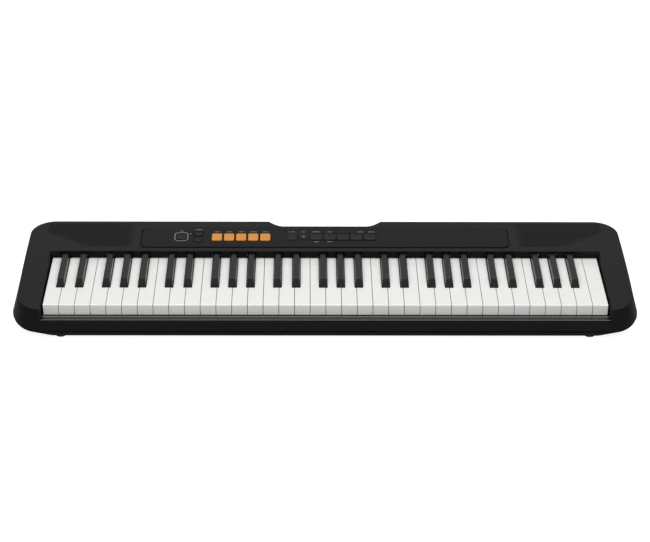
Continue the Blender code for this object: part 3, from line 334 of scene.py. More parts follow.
# ---------------------------------------------------------------- screws
# Ten pan-head screws of zinc-plated steel, cold-headed with a cross recess. They sit deep in the tray's
# wells and hold the upper case down.
SCREW_HEAD = 0.0031
SCREW_RISE = 0.0019
CROSS_REACH = 0.0017
CROSS_HALF = 0.00045
CROSS_DEPTH = 0.0011
CROSS_TAPER = 0.8
HEAD_EDGE = 0.0003
HEAD_ARC = 1.0
HEAD_SIDES = 48
screw_parts = []
turn = (np.arange(HEAD_SIDES) + 0.25) * 2 * math.pi / HEAD_SIDES
spoke = np.stack([np.cos(turn), np.sin(turn)], -1)
one_arm = np.minimum(CROSS_REACH / np.abs(spoke[:, 0]), CROSS_HALF / np.abs(spoke[:, 1]))
other_arm = np.minimum(CROSS_REACH / np.abs(spoke[:, 1]), CROSS_HALF / np.abs(spoke[:, 0]))
cross = spoke * np.maximum(one_arm, other_arm)[:, None]
for place in SCREW_PLACES:
    seat = TRAY_BOTTOM + WELL_DEPTH
    head = [raised(place + spoke * 0.0, seat), raised(place + spoke * SCREW_HEAD, seat)]
    for bend in np.linspace(0.0, HEAD_ARC, 6):
        head.append(raised(place + spoke * SCREW_HEAD * math.cos(bend), seat - HEAD_EDGE
                           - (SCREW_RISE - HEAD_EDGE) * math.sin(bend) / math.sin(HEAD_ARC)))
    recess = seat - SCREW_RISE + CROSS_DEPTH
    head += [raised(place + cross, seat - SCREW_RISE), raised(place + cross * CROSS_TAPER, recess),
             raised(place + cross * 0.0, recess)]
    screw_parts.append(band(head, True))
# Zinc plate is a cool, light metal with duller patches, about 1.1 mm wide, that the bath left.
ZINC_PATCH = 1 / 900
ZINC_STEEL = bpy.data.materials.new("cold_headed_zinc_plated_steel")
ZINC_STEEL.use_nodes = True
zinc = ZINC_STEEL.node_tree
where = place_node(zinc, "ShaderNodeTexCoord")
patches = place_node(zinc, "ShaderNodeTexNoise", {"Scale": 1 / ZINC_PATCH, "Detail": 2.0},
                     {"Vector": (where, "Object")})
zinc_shine = place_node(zinc, "ShaderNodeMapRange", {"To Min": 0.25, "To Max": 0.45},
                        {"Value": (patches, "Fac")})
place_node(zinc, zinc.nodes["Principled BSDF"], {"Base Color": linear("A9ACAF"), "Metallic": 1.0},
           {"Roughness": (zinc_shine, "Result")})
screws = sew("case_screws", screw_parts)
finished(screws, ZINC_STEEL, "case")

# ---------------------------------------------------------------- feet
# Four round feet of black nitrile rubber, moulded and glued into shallow pockets of the tray.
# Rubber is duller than ABS and greys a little where it is handled.
FOOT_RUBBER = grained_plastic("moulded_nitrile_rubber_black", "131313", "1C1C1C", 0.0009, 0.00004,
                              0.78, 0.9)
wear(FOOT_RUBBER, "foot_front_left", "foot_front_right", "foot_back_left", "foot_back_right")

# ---------------------------------------------------------------- battery contacts
# Two plates of spring steel, stamped and nickel-plated, that sit at the ends of the battery bay.
# Nickel plate is a warm grey mirror, softened by the roller's lines. They are finer on the real plate:
# here they are drawn 0.4 mm wide and 25 times as long.
ROLLED_LINE = 0.0004
ROLLED_STRETCH = 0.04
PLATED_STEEL = bpy.data.materials.new("stamped_nickel_plated_steel")
PLATED_STEEL.use_nodes = True
plating = PLATED_STEEL.node_tree
where = place_node(plating, "ShaderNodeTexCoord")
along_rolls = place_node(plating, "ShaderNodeMapping", {"Scale": (1.0, ROLLED_STRETCH, 1.0)},
                         {"Vector": (where, "Object")})
rolls = place_node(plating, "ShaderNodeTexNoise", {"Scale": 1 / ROLLED_LINE, "Detail": 3.0},
                   {"Vector": (along_rolls, "Vector")})
roll_shine = place_node(plating, "ShaderNodeMapRange", {"To Min": 0.22, "To Max": 0.42},
                        {"Value": (rolls, "Fac")})
place_node(plating, plating.nodes["Principled BSDF"],
           {"Base Color": linear("B9B5AB"), "Metallic": 1.0}, {"Roughness": (roll_shine, "Result")})
wear(PLATED_STEEL, "battery_contact_left", "battery_contact_right")

# ---------------------------------------------------------------- key frame and stop felt
# The frame that carries the hinge bars, moulded in grey ABS without grain, screwed into the tray.
# A strip of pressed red wool felt along its front stops the keys at the bottom of their travel.
FRAME_ABS = grained_plastic("moulded_abs_frame_grey", "7E7E7C", "8C8C8A", 0.004, 0.00002, 0.42, 0.5)
wear(FRAME_ABS, "key_frame")
STOP_FELT = grained_plastic("pressed_wool_felt_red", "5E1C17", "8A3026", 0.0006, 0.0003, 0.9, 1.0, 1.0)
wear(STOP_FELT, "down_stop_felt")

# ---------------------------------------------------------------- boards and contact strip
# Glass-epoxy and paper-phenolic boards, screen printed with solder mask, and a moulded strip of
# silicone rubber whose domes close the key contacts.
BOARD_MASK = grained_plastic("printed_solder_mask_green", "174C2C", "1F6238", 0.003, 0.00002, 0.3, 0.42)
wear(BOARD_MASK, "key_contact_board", "main_board", "button_board")
CONTACT_SILICONE = grained_plastic("moulded_silicone_grey", "8E8E88", "A0A09A", 0.002, 0.00003, 0.55, 0.7)
wear(CONTACT_SILICONE, "contact_strip")

# ---------------------------------------------------------------- speakers
# Two oval loudspeakers under the perforated fields: pulp cone, pressed basket and magnet, all
# blackened, screwed up against the deck.
SPEAKER_PULP = grained_plastic("pressed_pulp_speaker_black", "151516", "222223", 0.0012, 0.0001, 0.75, 0.9)
wear(SPEAKER_PULP, "speaker_left", "speaker_right")

# ---------------------------------------------------------------- sockets
# Headphone socket, pedal socket and supply inlet: glass-filled nylon bodies soldered to the board,
# with their noses in the holes of the back wall.
SOCKET_NYLON = grained_plastic("moulded_glass_filled_nylon_black", "141416", "1D1D1F", 0.0008, 0.00003,
                               0.38, 0.5)
wear(SOCKET_NYLON, "headphone_jack", "pedal_jack", "dc_inlet")

# ---------------------------------------------------------------- white keys
# White styrene resin with a polished top. Each octave's C, E, G and B are one moulding and its D, F and
# A another; the middle octave has separate keys. A thin tongue behind each key is its hinge.
KEY_WHITE = grained_plastic("polished_styrene_white", "E3E3E0", "E7E7E4", 0.02, 0.000002, 0.23, 0.26, 0.1)
whites = [name for name in nodes if name.startswith("white_")]
wear(KEY_WHITE, *whites)

# ---------------------------------------------------------------- black keys
# The five black keys of an octave are one moulding in black styrene resin; the middle octave has separate
# keys. They are satin from the tool, so their flanks catch the light softly.
KEY_BLACK = grained_plastic("satin_styrene_black", "0D0D0E", "131314", 0.0008, 0.00002, 0.2, 0.3,
                            shine=0.16)
blacks = [name for name in nodes if name.startswith("black_")]
wear(KEY_BLACK, *blacks)

# ---------------------------------------------------------------- upper case
# The top shell: one moulding in black ABS with two crowned end blocks, the deck with the carrying notch
# and the fine holes over the speakers, and a back lip that clears every black key.
CASE_TOP = 0.073
RIM_ROUND = 0.002
SIDE_TOP_INSET = 0.0019
RAIL_NOSE_LIMIT = -0.1192
SIDE_FLARE = 0.0085
FOOT_CORNER = 0.046
FOOT_SWEEP = (0.046, 0.065)
FRONT_LEAN = 0.403
CROWN_DROP = 0.013
CROWN_REACH = 0.1755
OPENING_BACK = 0.035
OPENING_ROUND = 0.0011
CASE_WALL = 0.0024
KEEP_FLAT = 0.0005
SOCKET_ROW = (0.160, 0.185, 0.210)
SOCKET_LEVEL = 0.045
SOCKET_HOLE = 0.0053
SOCKET_SIDES = 32
BEHIND = 0.12


def crown(y):
    """Height of the top skin: level at the back, then falling with the square of the way to the front."""
    reach = np.clip(CROWN_END - np.asarray(y, float), 0.0, None) / CROWN_REACH
    return CASE_TOP - CROWN_DROP * reach * reach


# The outer wall: it leans in from the belt at the sides and the front, stands upright behind, and turns
# on to the top with a quarter round
WALL_RISE = CASE_TOP - RIM_ROUND - BELT
front_in = (CASE_TOP - CROWN_DROP - RIM_ROUND - BELT) * FRONT_LEAN
foot = mirrored(right_outline(-SIDE_FLARE, 0.0, 0.0, FOOT_CORNER, FOOT_SWEEP, True))
head = mirrored(right_outline(SIDE_TOP_INSET, front_in, 0.0))
foot_ring = raised(foot, BELT)
head_ring = raised(head, crown(head[:, 1]) - RIM_ROUND)
patch_low = (SOCKET_PATCH[2] - BELT) / WALL_RISE
patch_high = (SOCKET_PATCH[3] - BELT) / WALL_RISE
wall_rings = [foot_ring + (head_ring - foot_ring) * share for share in (0.0, patch_low, patch_high, 1.0)]
for bend in np.linspace(0.0, math.pi / 2, 7)[1:]:
    more = RIM_ROUND * (1 - math.cos(bend))
    ring = mirrored(right_outline(SIDE_TOP_INSET + more, front_in + more, more))
    wall_rings.append(raised(ring, crown(ring[:, 1]) - RIM_ROUND * (1 - math.sin(bend))))
inner = RIM_ROUND + KEEP_FLAT
top_edge = mirrored(right_outline(SIDE_TOP_INSET + inner, front_in + inner, inner))
wall_rings.append(raised(top_edge, crown(top_edge[:, 1])))
outer_points, outer_quads = band(wall_rings, False)
middle = outer_points[outer_quads].mean(1)
low_x, high_x, low_z, high_z = SOCKET_PATCH
in_patch = ((middle[:, 0] > low_x) & (middle[:, 0] < high_x) & (middle[:, 1] > BEHIND)
            & (middle[:, 2] > low_z) & (middle[:, 2] < high_z))
outer_wall = (outer_points, outer_quads[~in_patch])

# The patch of the back wall that holds the three socket holes
patch_edge = [(low_x, low_z), (high_x, low_z), (high_x, high_z), (low_x, high_z)]
socket_middles = [(x, SOCKET_LEVEL) for x in SOCKET_ROW]
flat, corners = skin(patch_edge, circles(socket_middles, [SOCKET_HOLE] * len(SOCKET_ROW), SOCKET_SIDES))
socket_patch = (np.stack([flat[:, 0], np.full(len(flat), CASE_HALF_DEPTH), flat[:, 1]], -1), corners)

# The key opening's edge: one path from the left front, round the deck, to the right front. It is sharp
# at the front, and gets its round over the first 3 mm.
EDGE_SPACE = 0.002
EDGE_TAPER = 0.003
along = top_edge[:len(top_edge) // 2]
along = along[along[:, 1] < OPENING_BACK - EDGE_SPACE]
edge_y = np.append(along[:, 1], OPENING_BACK)
right_edge = np.stack([np.full_like(edge_y, OPENING_HALF), edge_y], -1)
path = np.concatenate([right_edge * (-1, 1), right_edge[::-1]])
away = np.stack([np.sign(path[:, 0]), np.where(path[:, 1] == OPENING_BACK, 1.0, 0.0)], -1)
taper = np.clip((path[:, 1] - edge_y[0]) / EDGE_TAPER, 0.0, 1.0)
edge_rings = []
for bend in np.linspace(0.0, math.pi / 2, 6):
    plan = path + away * (OPENING_ROUND * (1 - math.cos(bend)) * taper)[:, None]
    edge_rings.append(raised(plan, crown(plan[:, 1]) - OPENING_ROUND * (1 - math.sin(bend)) * taper))
plan = path + away * ((OPENING_ROUND + KEEP_FLAT) * taper)[:, None]
edge_rings.append(raised(plan, crown(plan[:, 1])))
opening_edge = band(edge_rings, False)

# The opening's sides: flat faces from the leaning front to the lip, seen above the rail and the keys
low_path = edge_rings[0][len(edge_y):][::-1]
front_line = np.array([ring[0] for ring in wall_rings[:-1]])
side_face = np.concatenate([front_line, low_path, [(OPENING_HALF, OPENING_BACK, BELT)]])
side_faces = [(side_face * (sign, 1, 1), [list(range(len(side_face)))]) for sign in (1, -1)]

# The back lip: a notch over each black key, where the key runs under the deck
WHITE_PITCH = 0.0235
KEYS_LEFT = -0.423
BLACK_PLACES = {1: -0.0025, 2: 0.0024, 4: -0.0036, 5: -0.0003, 6: 0.0035}
NOTCH_HALF = 0.00675
LIP_BOTTOM = 0.060
LIP_NOTCH_TOP = 0.0705
LIP_CORNER = 0.0008
black_middles = [KEYS_LEFT + (7 * octave + joint) * WHITE_PITCH + shift
                 for octave in range(5) for joint, shift in BLACK_PLACES.items()]
notch_shape = np.array([(-NOTCH_HALF, LIP_BOTTOM), (-NOTCH_HALF, LIP_NOTCH_TOP - LIP_CORNER),
                        (-NOTCH_HALF + LIP_CORNER, LIP_NOTCH_TOP), (NOTCH_HALF - LIP_CORNER, LIP_NOTCH_TOP),
                        (NOTCH_HALF, LIP_NOTCH_TOP - LIP_CORNER), (NOTCH_HALF, LIP_BOTTOM)])
lip_top = float(crown(OPENING_BACK)) - OPENING_ROUND
lip_run = np.concatenate([notch_shape + (x, 0.0) for x in black_middles])
lip_outline = np.concatenate([[(-OPENING_HALF, LIP_BOTTOM)], lip_run, [
    (OPENING_HALF, LIP_BOTTOM), (OPENING_HALF, lip_top), (-OPENING_HALF, lip_top)]])
flat, corners = skin(lip_outline, [])
lip = (np.stack([flat[:, 0], np.full(len(flat), OPENING_BACK), flat[:, 1]], -1), corners)

# The pocket for the control panel: a softened edge, a short wall and the ledge that the panel lies on
POCKET_MIDDLE = 0.07525
POCKET_WIDTH = 0.577
POCKET_DEPTH = 0.0643
POCKET_CORNER = 0.0105
POCKET_ROUND = 0.0003
POCKET_FLAT = 0.0003
LEDGE_LEVEL = 0.070
LEDGE_WIDTH = 0.0065


def pocket_ring(out, drop):
    """The pocket's outline, widened, at a depth below the crowned top."""
    ring = rounded(*widened(out, 0.0, POCKET_MIDDLE, POCKET_WIDTH, POCKET_DEPTH, POCKET_CORNER), 10)
    return raised(ring, crown(ring[:, 1]) - drop)


pocket_rings = [pocket_ring(POCKET_ROUND + POCKET_FLAT, 0.0)]
pocket_rings += [pocket_ring(POCKET_ROUND * (1 - math.sin(bend)), POCKET_ROUND * (1 - math.cos(bend)))
                 for bend in np.linspace(0.0, math.pi / 2, 5)]
pocket_rings += [raised(pocket_ring(out, 0.0)[:, :2], LEDGE_LEVEL) for out in (0.0, -LEDGE_WIDTH)]
pocket = band(pocket_rings, True)

# Fine holes over the speakers, in staggered rows. The field fades out at a slanting line towards the
# player, and three rows run on behind the panel, with smaller holes towards the middle.
HOLE_PITCH = 0.0040
HOLE_RADIUS = 0.00135
HOLE_SIDES = 10
FIELD_LOW = (0.301, 0.0485)
FIELD_HIGH = (0.4365, 0.1225)
FADE_LINE = ((0.358, 0.046), (0.436, 0.095))
FADE_WIDTH = 0.012
EDGE_SIZE = 0.6
EDGE_FADE = 0.02
BAND_LOW = (0.150, 0.1135)
BAND_SIZE = 0.34
BAND_GROWTH = 0.3
SMALLEST = 0.33
rows = np.arange(FIELD_LOW[1], FIELD_HIGH[1], HOLE_PITCH * math.sqrt(3) / 2)
columns = np.arange(BAND_LOW[0], FIELD_HIGH[0], HOLE_PITCH)
grid_x, grid_y = np.meshgrid(columns, rows)
grid_x = grid_x + (np.arange(len(rows)) % 2 * HOLE_PITCH / 2)[:, None]
(line_x, line_y), (line_end_x, line_end_y) = FADE_LINE
line_length = math.hypot(line_end_x - line_x, line_end_y - line_y)
beyond = ((grid_y - line_y) * (line_end_x - line_x)
          - (grid_x - line_x) * (line_end_y - line_y)) / line_length
field_size = np.clip(1.0 + beyond / FADE_WIDTH, 0.0, 1.0)
field_size = field_size * np.clip(EDGE_SIZE + (grid_x - FIELD_LOW[0]) / EDGE_FADE, 0.0, 1.0)
outwards = np.clip((grid_x - BAND_LOW[0]) / (FIELD_LOW[0] - BAND_LOW[0]), 0.0, 1.0)
band_size = np.where(grid_y > BAND_LOW[1], BAND_SIZE + BAND_GROWTH * outwards, 0.0)
size = np.where(grid_x < FIELD_LOW[0], band_size, field_size)
corner_x = CASE_HALF - CASE_CORNER
corner_y = CASE_HALF_DEPTH - CASE_CORNER
from_corner = np.hypot(np.clip(grid_x - corner_x, 0.0, None), np.clip(grid_y - corner_y, 0.0, None))
wanted = (size > SMALLEST) & (from_corner < CASE_CORNER - SIDE_TOP_INSET - inner - 2 * HOLE_RADIUS)
hole_middles = np.stack([grid_x[wanted], grid_y[wanted]], -1)
hole_sizes = HOLE_RADIUS * size[wanted]
field = circles(hole_middles, hole_sizes, HOLE_SIDES, math.pi / HOLE_SIDES)
field = np.concatenate([field, field * (-1, 1)])

# The top skin, between the rim, the opening's edge, the pocket and the holes. Rows of edges cross both
# end blocks, so that the skin follows the crown.
inner_edge = edge_rings[-1][:, :2]
rim_points = len(top_edge)
outline = np.concatenate([top_edge, inner_edge[1:-1]])
steps = np.arange(1, len(edge_y) - 1)
left_rows = np.stack([rim_points - 1 - steps, rim_points - 1 + steps], -1)
right_rows = np.stack([steps, len(outline) - steps], -1)
rows_across = np.concatenate([left_rows, right_rows]).tolist()
flat, corners = skin(outline, [pocket_rings[0][:, :2], *field], rows_across)
deck = (raised(flat, crown(flat[:, 1])), corners)

# ABS, moulded against the same kind of tool: a shade lighter than the tray, and a little smoother.
CASE_ABS = grained_plastic("moulded_abs_case_black", "1D1D1D", "252525", 0.0007, 0.00005, 0.56, 0.68,
                           shine=0.06)
shell = sew("upper_case_shell", [outer_wall, socket_patch, opening_edge, *side_faces, pocket, deck],
            CASE_WALL)
finished(shell, CASE_ABS, "case", "upper_case")
# The walls round it are the same ABS, a little more matt, with painted shade: their colour is darker than
# the top's to stand for the shade on faces that the light from above misses.
SHADED_WALL_ABS = grained_plastic("moulded_abs_wall_black", "0F0F0F", "161616", 0.0007, 0.00005, 0.6, 0.7,
                           shine=0.04)
STEEP = 0.57
OPENING_REACH = 0.0001


def paint_wall_shade(piece, level):
    """Gives a piece the walls' material, with its painted shade, on its steep outer faces below a level.

    A face is steep when the upright part of its normal is small, and outer when it looks away from the
    middle. The sides of the key opening keep the piece's own finish. All that lies in front of the
    rail's nose gets the walls' painted shade.
    """
    piece.data.materials.append(SHADED_WALL_ABS)
    faces = piece.data.polygons
    facing = np.empty(3 * len(faces))
    faces.foreach_get("normal", facing)
    places = np.empty(3 * len(faces))
    faces.foreach_get("center", places)
    facing = facing.reshape(-1, 3)
    places = places.reshape(-1, 3)
    outside = (facing * places)[:, :2].sum(1) > 0.0
    dark = (np.abs(facing[:, 2]) < STEEP) & outside & (places[:, 2] < level)
    dark &= (np.abs(places[:, 0]) > OPENING_HALF + OPENING_REACH) | (places[:, 1] > CROWN_END)
    dark |= places[:, 1] < RAIL_NOSE_LIMIT
    faces.foreach_set("material_index", dark.astype(np.int32))


# The shell's steep outer walls get the painted shade: a darker colour for the shade on faces the light from
# above misses.
paint_wall_shade(shell, CASE_TOP - RIM_ROUND / 2)

# The lip has the tool's coarse grain, and painted shade: its colour is the darkest of the case, for the
# shade behind the keys under the deck's edge.
# Its wall goes back from the keys.
LIP_ABS_PAINTED_SHADE = grained_plastic("moulded_abs_lip_black", "080808", "0D0D0D", 0.0009, 0.00005, 0.7, 0.8, shine=0.1)
lip_piece = sew("key_lip", [lip])
lip_wall = lip_piece.modifiers.new("wall", "SOLIDIFY")
lip_wall.thickness = CASE_WALL
lip_wall.offset = 1.0
lip_piece.modifiers.move(1, 0)
finished(lip_piece, LIP_ABS_PAINTED_SHADE, "case")

# ---------------------------------------------------------------- front rail
# The part of the top shell before the keys: a low rail with a bead along its rear edge that falls to the
# flat with half a cosine wave, a rounded nose, a fine step under it and a leaning front. It is polished.
RAIL_TOP = 0.044
RAIL_BACK = -0.1078
RAIL_FLAT = 0.0433
RAIL_NOSE = 0.0012
RAIL_NOSE_PLACE = -0.1178
RAIL_BEAD_FRONT = -0.1110
RAIL_END_GAP = 0.00005
RAIL_BACK_ROUND = 0.0008
RAIL_STEP = 0.0010
RAIL_LEDGE = 0.0012
RAIL_EDGE = 0.0004
RAIL_FOOT = ((0.0001, 0.0003), (0.0005, 0.0))
turn = np.linspace(0.0, math.pi / 2, 5)
back_round = np.stack([RAIL_BACK - RAIL_BACK_ROUND * (1 - np.cos(turn)),
                       RAIL_TOP - RAIL_BACK_ROUND * (1 - np.sin(turn))], -1)
share = np.linspace(0.0, 1.0, 9)[1:]
bead = np.stack([back_round[-1, 0] + (RAIL_BEAD_FRONT - back_round[-1, 0]) * share,
                 RAIL_FLAT + (RAIL_TOP - RAIL_FLAT) * (1 + np.cos(math.pi * share)) / 2], -1)
turn = np.radians(np.linspace(90.0, 165.0, 11))
nose = np.stack([RAIL_NOSE_PLACE + RAIL_NOSE * np.cos(turn),
                 RAIL_FLAT - RAIL_NOSE + RAIL_NOSE * np.sin(turn)], -1)
step_level = nose[-1, 1]
face_top = -CASE_HALF_DEPTH + (step_level - BELT) * FRONT_LEAN
front = np.array([(nose[-1, 0] + RAIL_EDGE, step_level - RAIL_STEP),
                  (face_top + RAIL_EDGE, step_level - RAIL_LEDGE),
                  (face_top, step_level - RAIL_LEDGE - RAIL_EDGE),
                  *((-CASE_HALF_DEPTH + back, BELT + rise) for back, rise in RAIL_FOOT)])
inside = np.array([(-CASE_HALF_DEPTH + CASE_WALL, BELT), (face_top + CASE_WALL, RAIL_TOP - CASE_WALL),
                   (RAIL_BACK - CASE_WALL, RAIL_TOP - CASE_WALL), (RAIL_BACK - CASE_WALL, BELT),
                   (RAIL_BACK, BELT)])
profile = np.concatenate([back_round, bead, nose, front, inside])
rail_ends = [np.concatenate([np.full((len(profile), 1), x), profile], -1)
             for x in (-OPENING_HALF + RAIL_END_GAP, OPENING_HALF - RAIL_END_GAP)]
rail_sides = band(rail_ends, True)
caps_points = np.concatenate(rail_ends)
count = len(profile)
rail_caps = (caps_points, [list(range(count)), list(range(2 * count - 1, count - 1, -1))])
# ABS from a polished tool: a deeper black with a clear, soft-edged reflection.
RAIL_ABS = grained_plastic("polished_abs_rail_black", "0B0B0B", "101010", 0.006, 0.000002, 0.13, 0.17, 0.1,
                           shine=0.5)
rail = sew("front_rail", [rail_sides, rail_caps])
finished(rail, RAIL_ABS, "case")
# Its leaning front gets the walls' material, with the same painted shade.
paint_wall_shade(rail, step_level)

# ---------------------------------------------------------------- control panel
# A flat insert in smoother black ABS, dropped into the deck's pocket and held from below. A groove
# shows all round it, widest at the front. Every button stands in a shallow well of its own or shares one.
PANEL_HALF = 0.2865
PANEL_FRONT = 0.0470
PANEL_BACK = 0.1069
PANEL_CORNER = 0.0090
PANEL_UNDER = 0.0703
PANEL_ROUND = 0.0003
PANEL_WALL = 0.0014
WELL_SINK = 0.0010
WELL_ROUND = 0.0002
BUTTON_GAP = 0.0005
BUTTON_LINE = 0.07805
# name: x, y, width, depth, corner
BUTTONS = {"power_button": (-0.2253, BUTTON_LINE, 0.0164, 0.0180, 0.0030),
           "volume_up_button": (-0.1988, 0.08685, 0.0117, 0.0120, 0.0020),
           "volume_down_button": (-0.1988, 0.06825, 0.0117, 0.0120, 0.0020),
           "mode_button": (-0.0518, BUTTON_LINE, 0.0155, 0.0205, 0.0020),
           "round_button": (-0.0339, BUTTON_LINE, 0.0150, 0.0150, 0.0074)}
TONE_FIRST, TONE_PITCH, TONE_LINE = -0.1694, 0.0189, 0.07675
FUNCTION_FIRST, FUNCTION_PITCH = -0.0137, 0.0210
for step in range(5):
    BUTTONS[f"tone_button_{step + 1}"] = (TONE_FIRST + step * TONE_PITCH, TONE_LINE, 0.0160, 0.0208, 0.0026)
    BUTTONS[f"function_button_{step + 1}"] = (FUNCTION_FIRST + step * FUNCTION_PITCH, BUTTON_LINE,
                                              0.0192, 0.0192, 0.0020)
FUNCTION_WELL = (0.0283, BUTTON_LINE, 0.1048, 0.0242, 0.0045)
VOLUME_WELL = (-0.1988, 0.07755, 0.0161, 0.0350, 0.0030)
WELL_ROOM = 0.0009
# How far a quarter round has fallen half way along it, for the edges that are made of two flats
HALF_BEND = 0.3


def well_patches(well, inside):
    """A well's softened edge and wall, and its floor with the holes of the buttons inside it."""
    levels = [(WELL_ROUND * 2, 0.0), (WELL_ROUND, 0.0), (WELL_ROUND * HALF_BEND, WELL_ROUND * HALF_BEND),
              (0.0, WELL_ROUND), (0.0, WELL_SINK)]
    rings = [raised(rounded(*widened(out, *well)), CASE_TOP - drop) for out, drop in levels]
    holes = [rounded(*widened(BUTTON_GAP, *button)) for button in inside]
    flat, corners = skin(rings[-1][:, :2], holes)
    return rings[0][:, :2], [band(rings, True), (raised(flat, CASE_TOP - WELL_SINK), corners)]


well_edges, panel_patches = [], []
functions = [BUTTONS[f"function_button_{step + 1}"] for step in range(5)]
volumes = [BUTTONS["volume_up_button"], BUTTONS["volume_down_button"]]
groups = [(FUNCTION_WELL, functions), (VOLUME_WELL, volumes)]
groups += [(widened(WELL_ROOM, *button), [button]) for name, button in BUTTONS.items()
           if not name.startswith(("function", "volume"))]
for well, inside in groups:
    edge, patches = well_patches(well, inside)
    well_edges.append(edge)
    panel_patches += patches


def panel_ring(inset):
    """The insert's outline, drawn in."""
    return rounded(0.0, (PANEL_FRONT + PANEL_BACK) / 2, 2 * (PANEL_HALF - inset),
                   PANEL_BACK - PANEL_FRONT - 2 * inset, PANEL_CORNER - inset, 10)


panel_rings = [raised(panel_ring(inset), height) for inset, height in (
    (0.0, PANEL_UNDER), (0.0, CASE_TOP - PANEL_ROUND),
    (PANEL_ROUND * HALF_BEND, CASE_TOP - PANEL_ROUND * HALF_BEND), (PANEL_ROUND, CASE_TOP),
    (PANEL_ROUND * 2, CASE_TOP))]
flat, corners = skin(panel_rings[-1][:, :2], well_edges)
panel_patches += [band(panel_rings, True), (raised(flat, CASE_TOP), corners)]
# ABS from a lightly blasted tool: a calmer, slightly darker black than the case, with a flatter grain.
PANEL_ABS = grained_plastic("moulded_abs_panel_black", "171717", "1D1D1D", 0.0009, 0.00002, 0.5, 0.6,
                            shine=0.05)
panel = sew("panel_insert", panel_patches, PANEL_WALL)
finished(panel, PANEL_ABS, "case", "control_panel")

# ---------------------------------------------------------------- light ring and lamp
# A thin ring round the power button and a small domed lamp beside it, both moulded in milky
# polycarbonate, pressed into the panel from below and standing a hair proud.
RING_WIDTH, RING_DEPTH, RING_CORNER, RING_LINE = 0.0214, 0.0272, 0.0075, 0.0011
INLAY_RISE = 0.00015


def inlay(x, y, width, depth, corner, line):
    """A closed flat strip along a rounded outline: outer and inner rings, low and high."""
    outer = rounded(x, y, width, depth, corner, 8)
    inner = rounded(x, y, width - 2 * line, depth - 2 * line, corner - line, 8)
    low, high = CASE_TOP - INLAY_RISE, CASE_TOP + INLAY_RISE
    return band([raised(outer, low), raised(outer, high), raised(inner, high), raised(inner, low),
                 raised(outer, low)], True)


power = BUTTONS["power_button"]
MILKY_RING = grained_plastic("moulded_polycarbonate_milky", "77777A", "8C8C8F", 0.0015, 0.00001, 0.3, 0.4)
light_ring = sew("light_ring", [inlay(power[0], power[1], RING_WIDTH, RING_DEPTH, RING_CORNER, RING_LINE)])
finished(light_ring, MILKY_RING, "case")
LAMP_PLACE, LAMP_RADIUS, LAMP_RISE, LAMP_SIDES = (-0.2110, 0.0874), 0.0011, 0.4, 20


def lamp_ring(share, height):
    """A ring round the lamp's middle at a share of its radius."""
    return raised(circles([LAMP_PLACE], [LAMP_RADIUS * share], LAMP_SIDES)[0], height)


lamp_rings = [lamp_ring(share, CASE_TOP - INLAY_RISE) for share in (0.0, 1.0)]
lamp_rings += [lamp_ring(math.cos(bend), CASE_TOP + LAMP_RADIUS * LAMP_RISE * math.sin(bend))
               for bend in np.linspace(0.0, math.pi / 2, 6)]
lamp = sew("status_lamp", [band(lamp_rings, True)])
finished(lamp, MILKY_RING, "case")

# ---------------------------------------------------------------- printed marks
# Screen-printed ink on the panel: a short bar by each button. The ink is drawn 0.08 mm thick, more than
# it is, so that it clears the panel.
INK_RISE = 0.00008
MARK_DEPTH = 0.0011
MARK_ROUND = 0.45
UPPER_MARKS, LOWER_MARKS = 0.0935, 0.0630
# Widths of the bars over the tone buttons
TONE_MARKS = (0.0088, 0.0088, 0.0088, 0.0104, 0.0088)
# The others and these: x, y, width
marks = [(power[0], 0.0958, 0.0052), (VOLUME_WELL[0], 0.0998, 0.0104)]
marks += [(TONE_FIRST + step * TONE_PITCH, UPPER_MARKS, width) for step, width in enumerate(TONE_MARKS)]
marks += [(-0.0560, UPPER_MARKS, 0.0030), (-0.0500, UPPER_MARKS, 0.0048), (-0.0339, UPPER_MARKS, 0.0050)]
marks += [(-0.0137, UPPER_MARKS, 0.0120), (0.0073, UPPER_MARKS, 0.0070), (0.0560, UPPER_MARKS, 0.0100),
          (0.0735, UPPER_MARKS, 0.0104), (-0.0137, LOWER_MARKS, 0.0086), (0.0073, LOWER_MARKS, 0.0084)]


def inked(ring, middle, low, high):
    """A thin closed shape of ink: its ring at two levels, closed towards its middle below and above."""
    centre = ring * 0.0 + middle
    return band([raised(centre, low), raised(ring, low), raised(ring, high), raised(centre, high)], True)


def printed_bar(x, y, width):
    """A bar of ink with rounded ends on the panel."""
    ring = rounded(x, y, width, MARK_DEPTH, MARK_DEPTH * MARK_ROUND, 3)
    return inked(ring, (x, y), CASE_TOP - INK_RISE, CASE_TOP + INK_RISE)


PRINT_INK = grained_plastic("screen_printed_ink_grey", "7E7E7E", "989898", 0.0006, 0.00001, 0.5, 0.65,
                            shine=0.3)
ink = sew("printed_marks", [printed_bar(*mark) for mark in marks])
finished(ink, PRINT_INK, "case")

# ---------------------------------------------------------------- buttons
# Hard caps over a rubber mat, each on its own stem: straight sides, a rounded edge and a slightly
# dished top. Five are orange and stand out; the others are black like the panel.
CAP_TOP = 0.0738
CAP_FOOT = 0.0670
CAP_ROUND = 0.0007
CAP_DISH = 0.00030


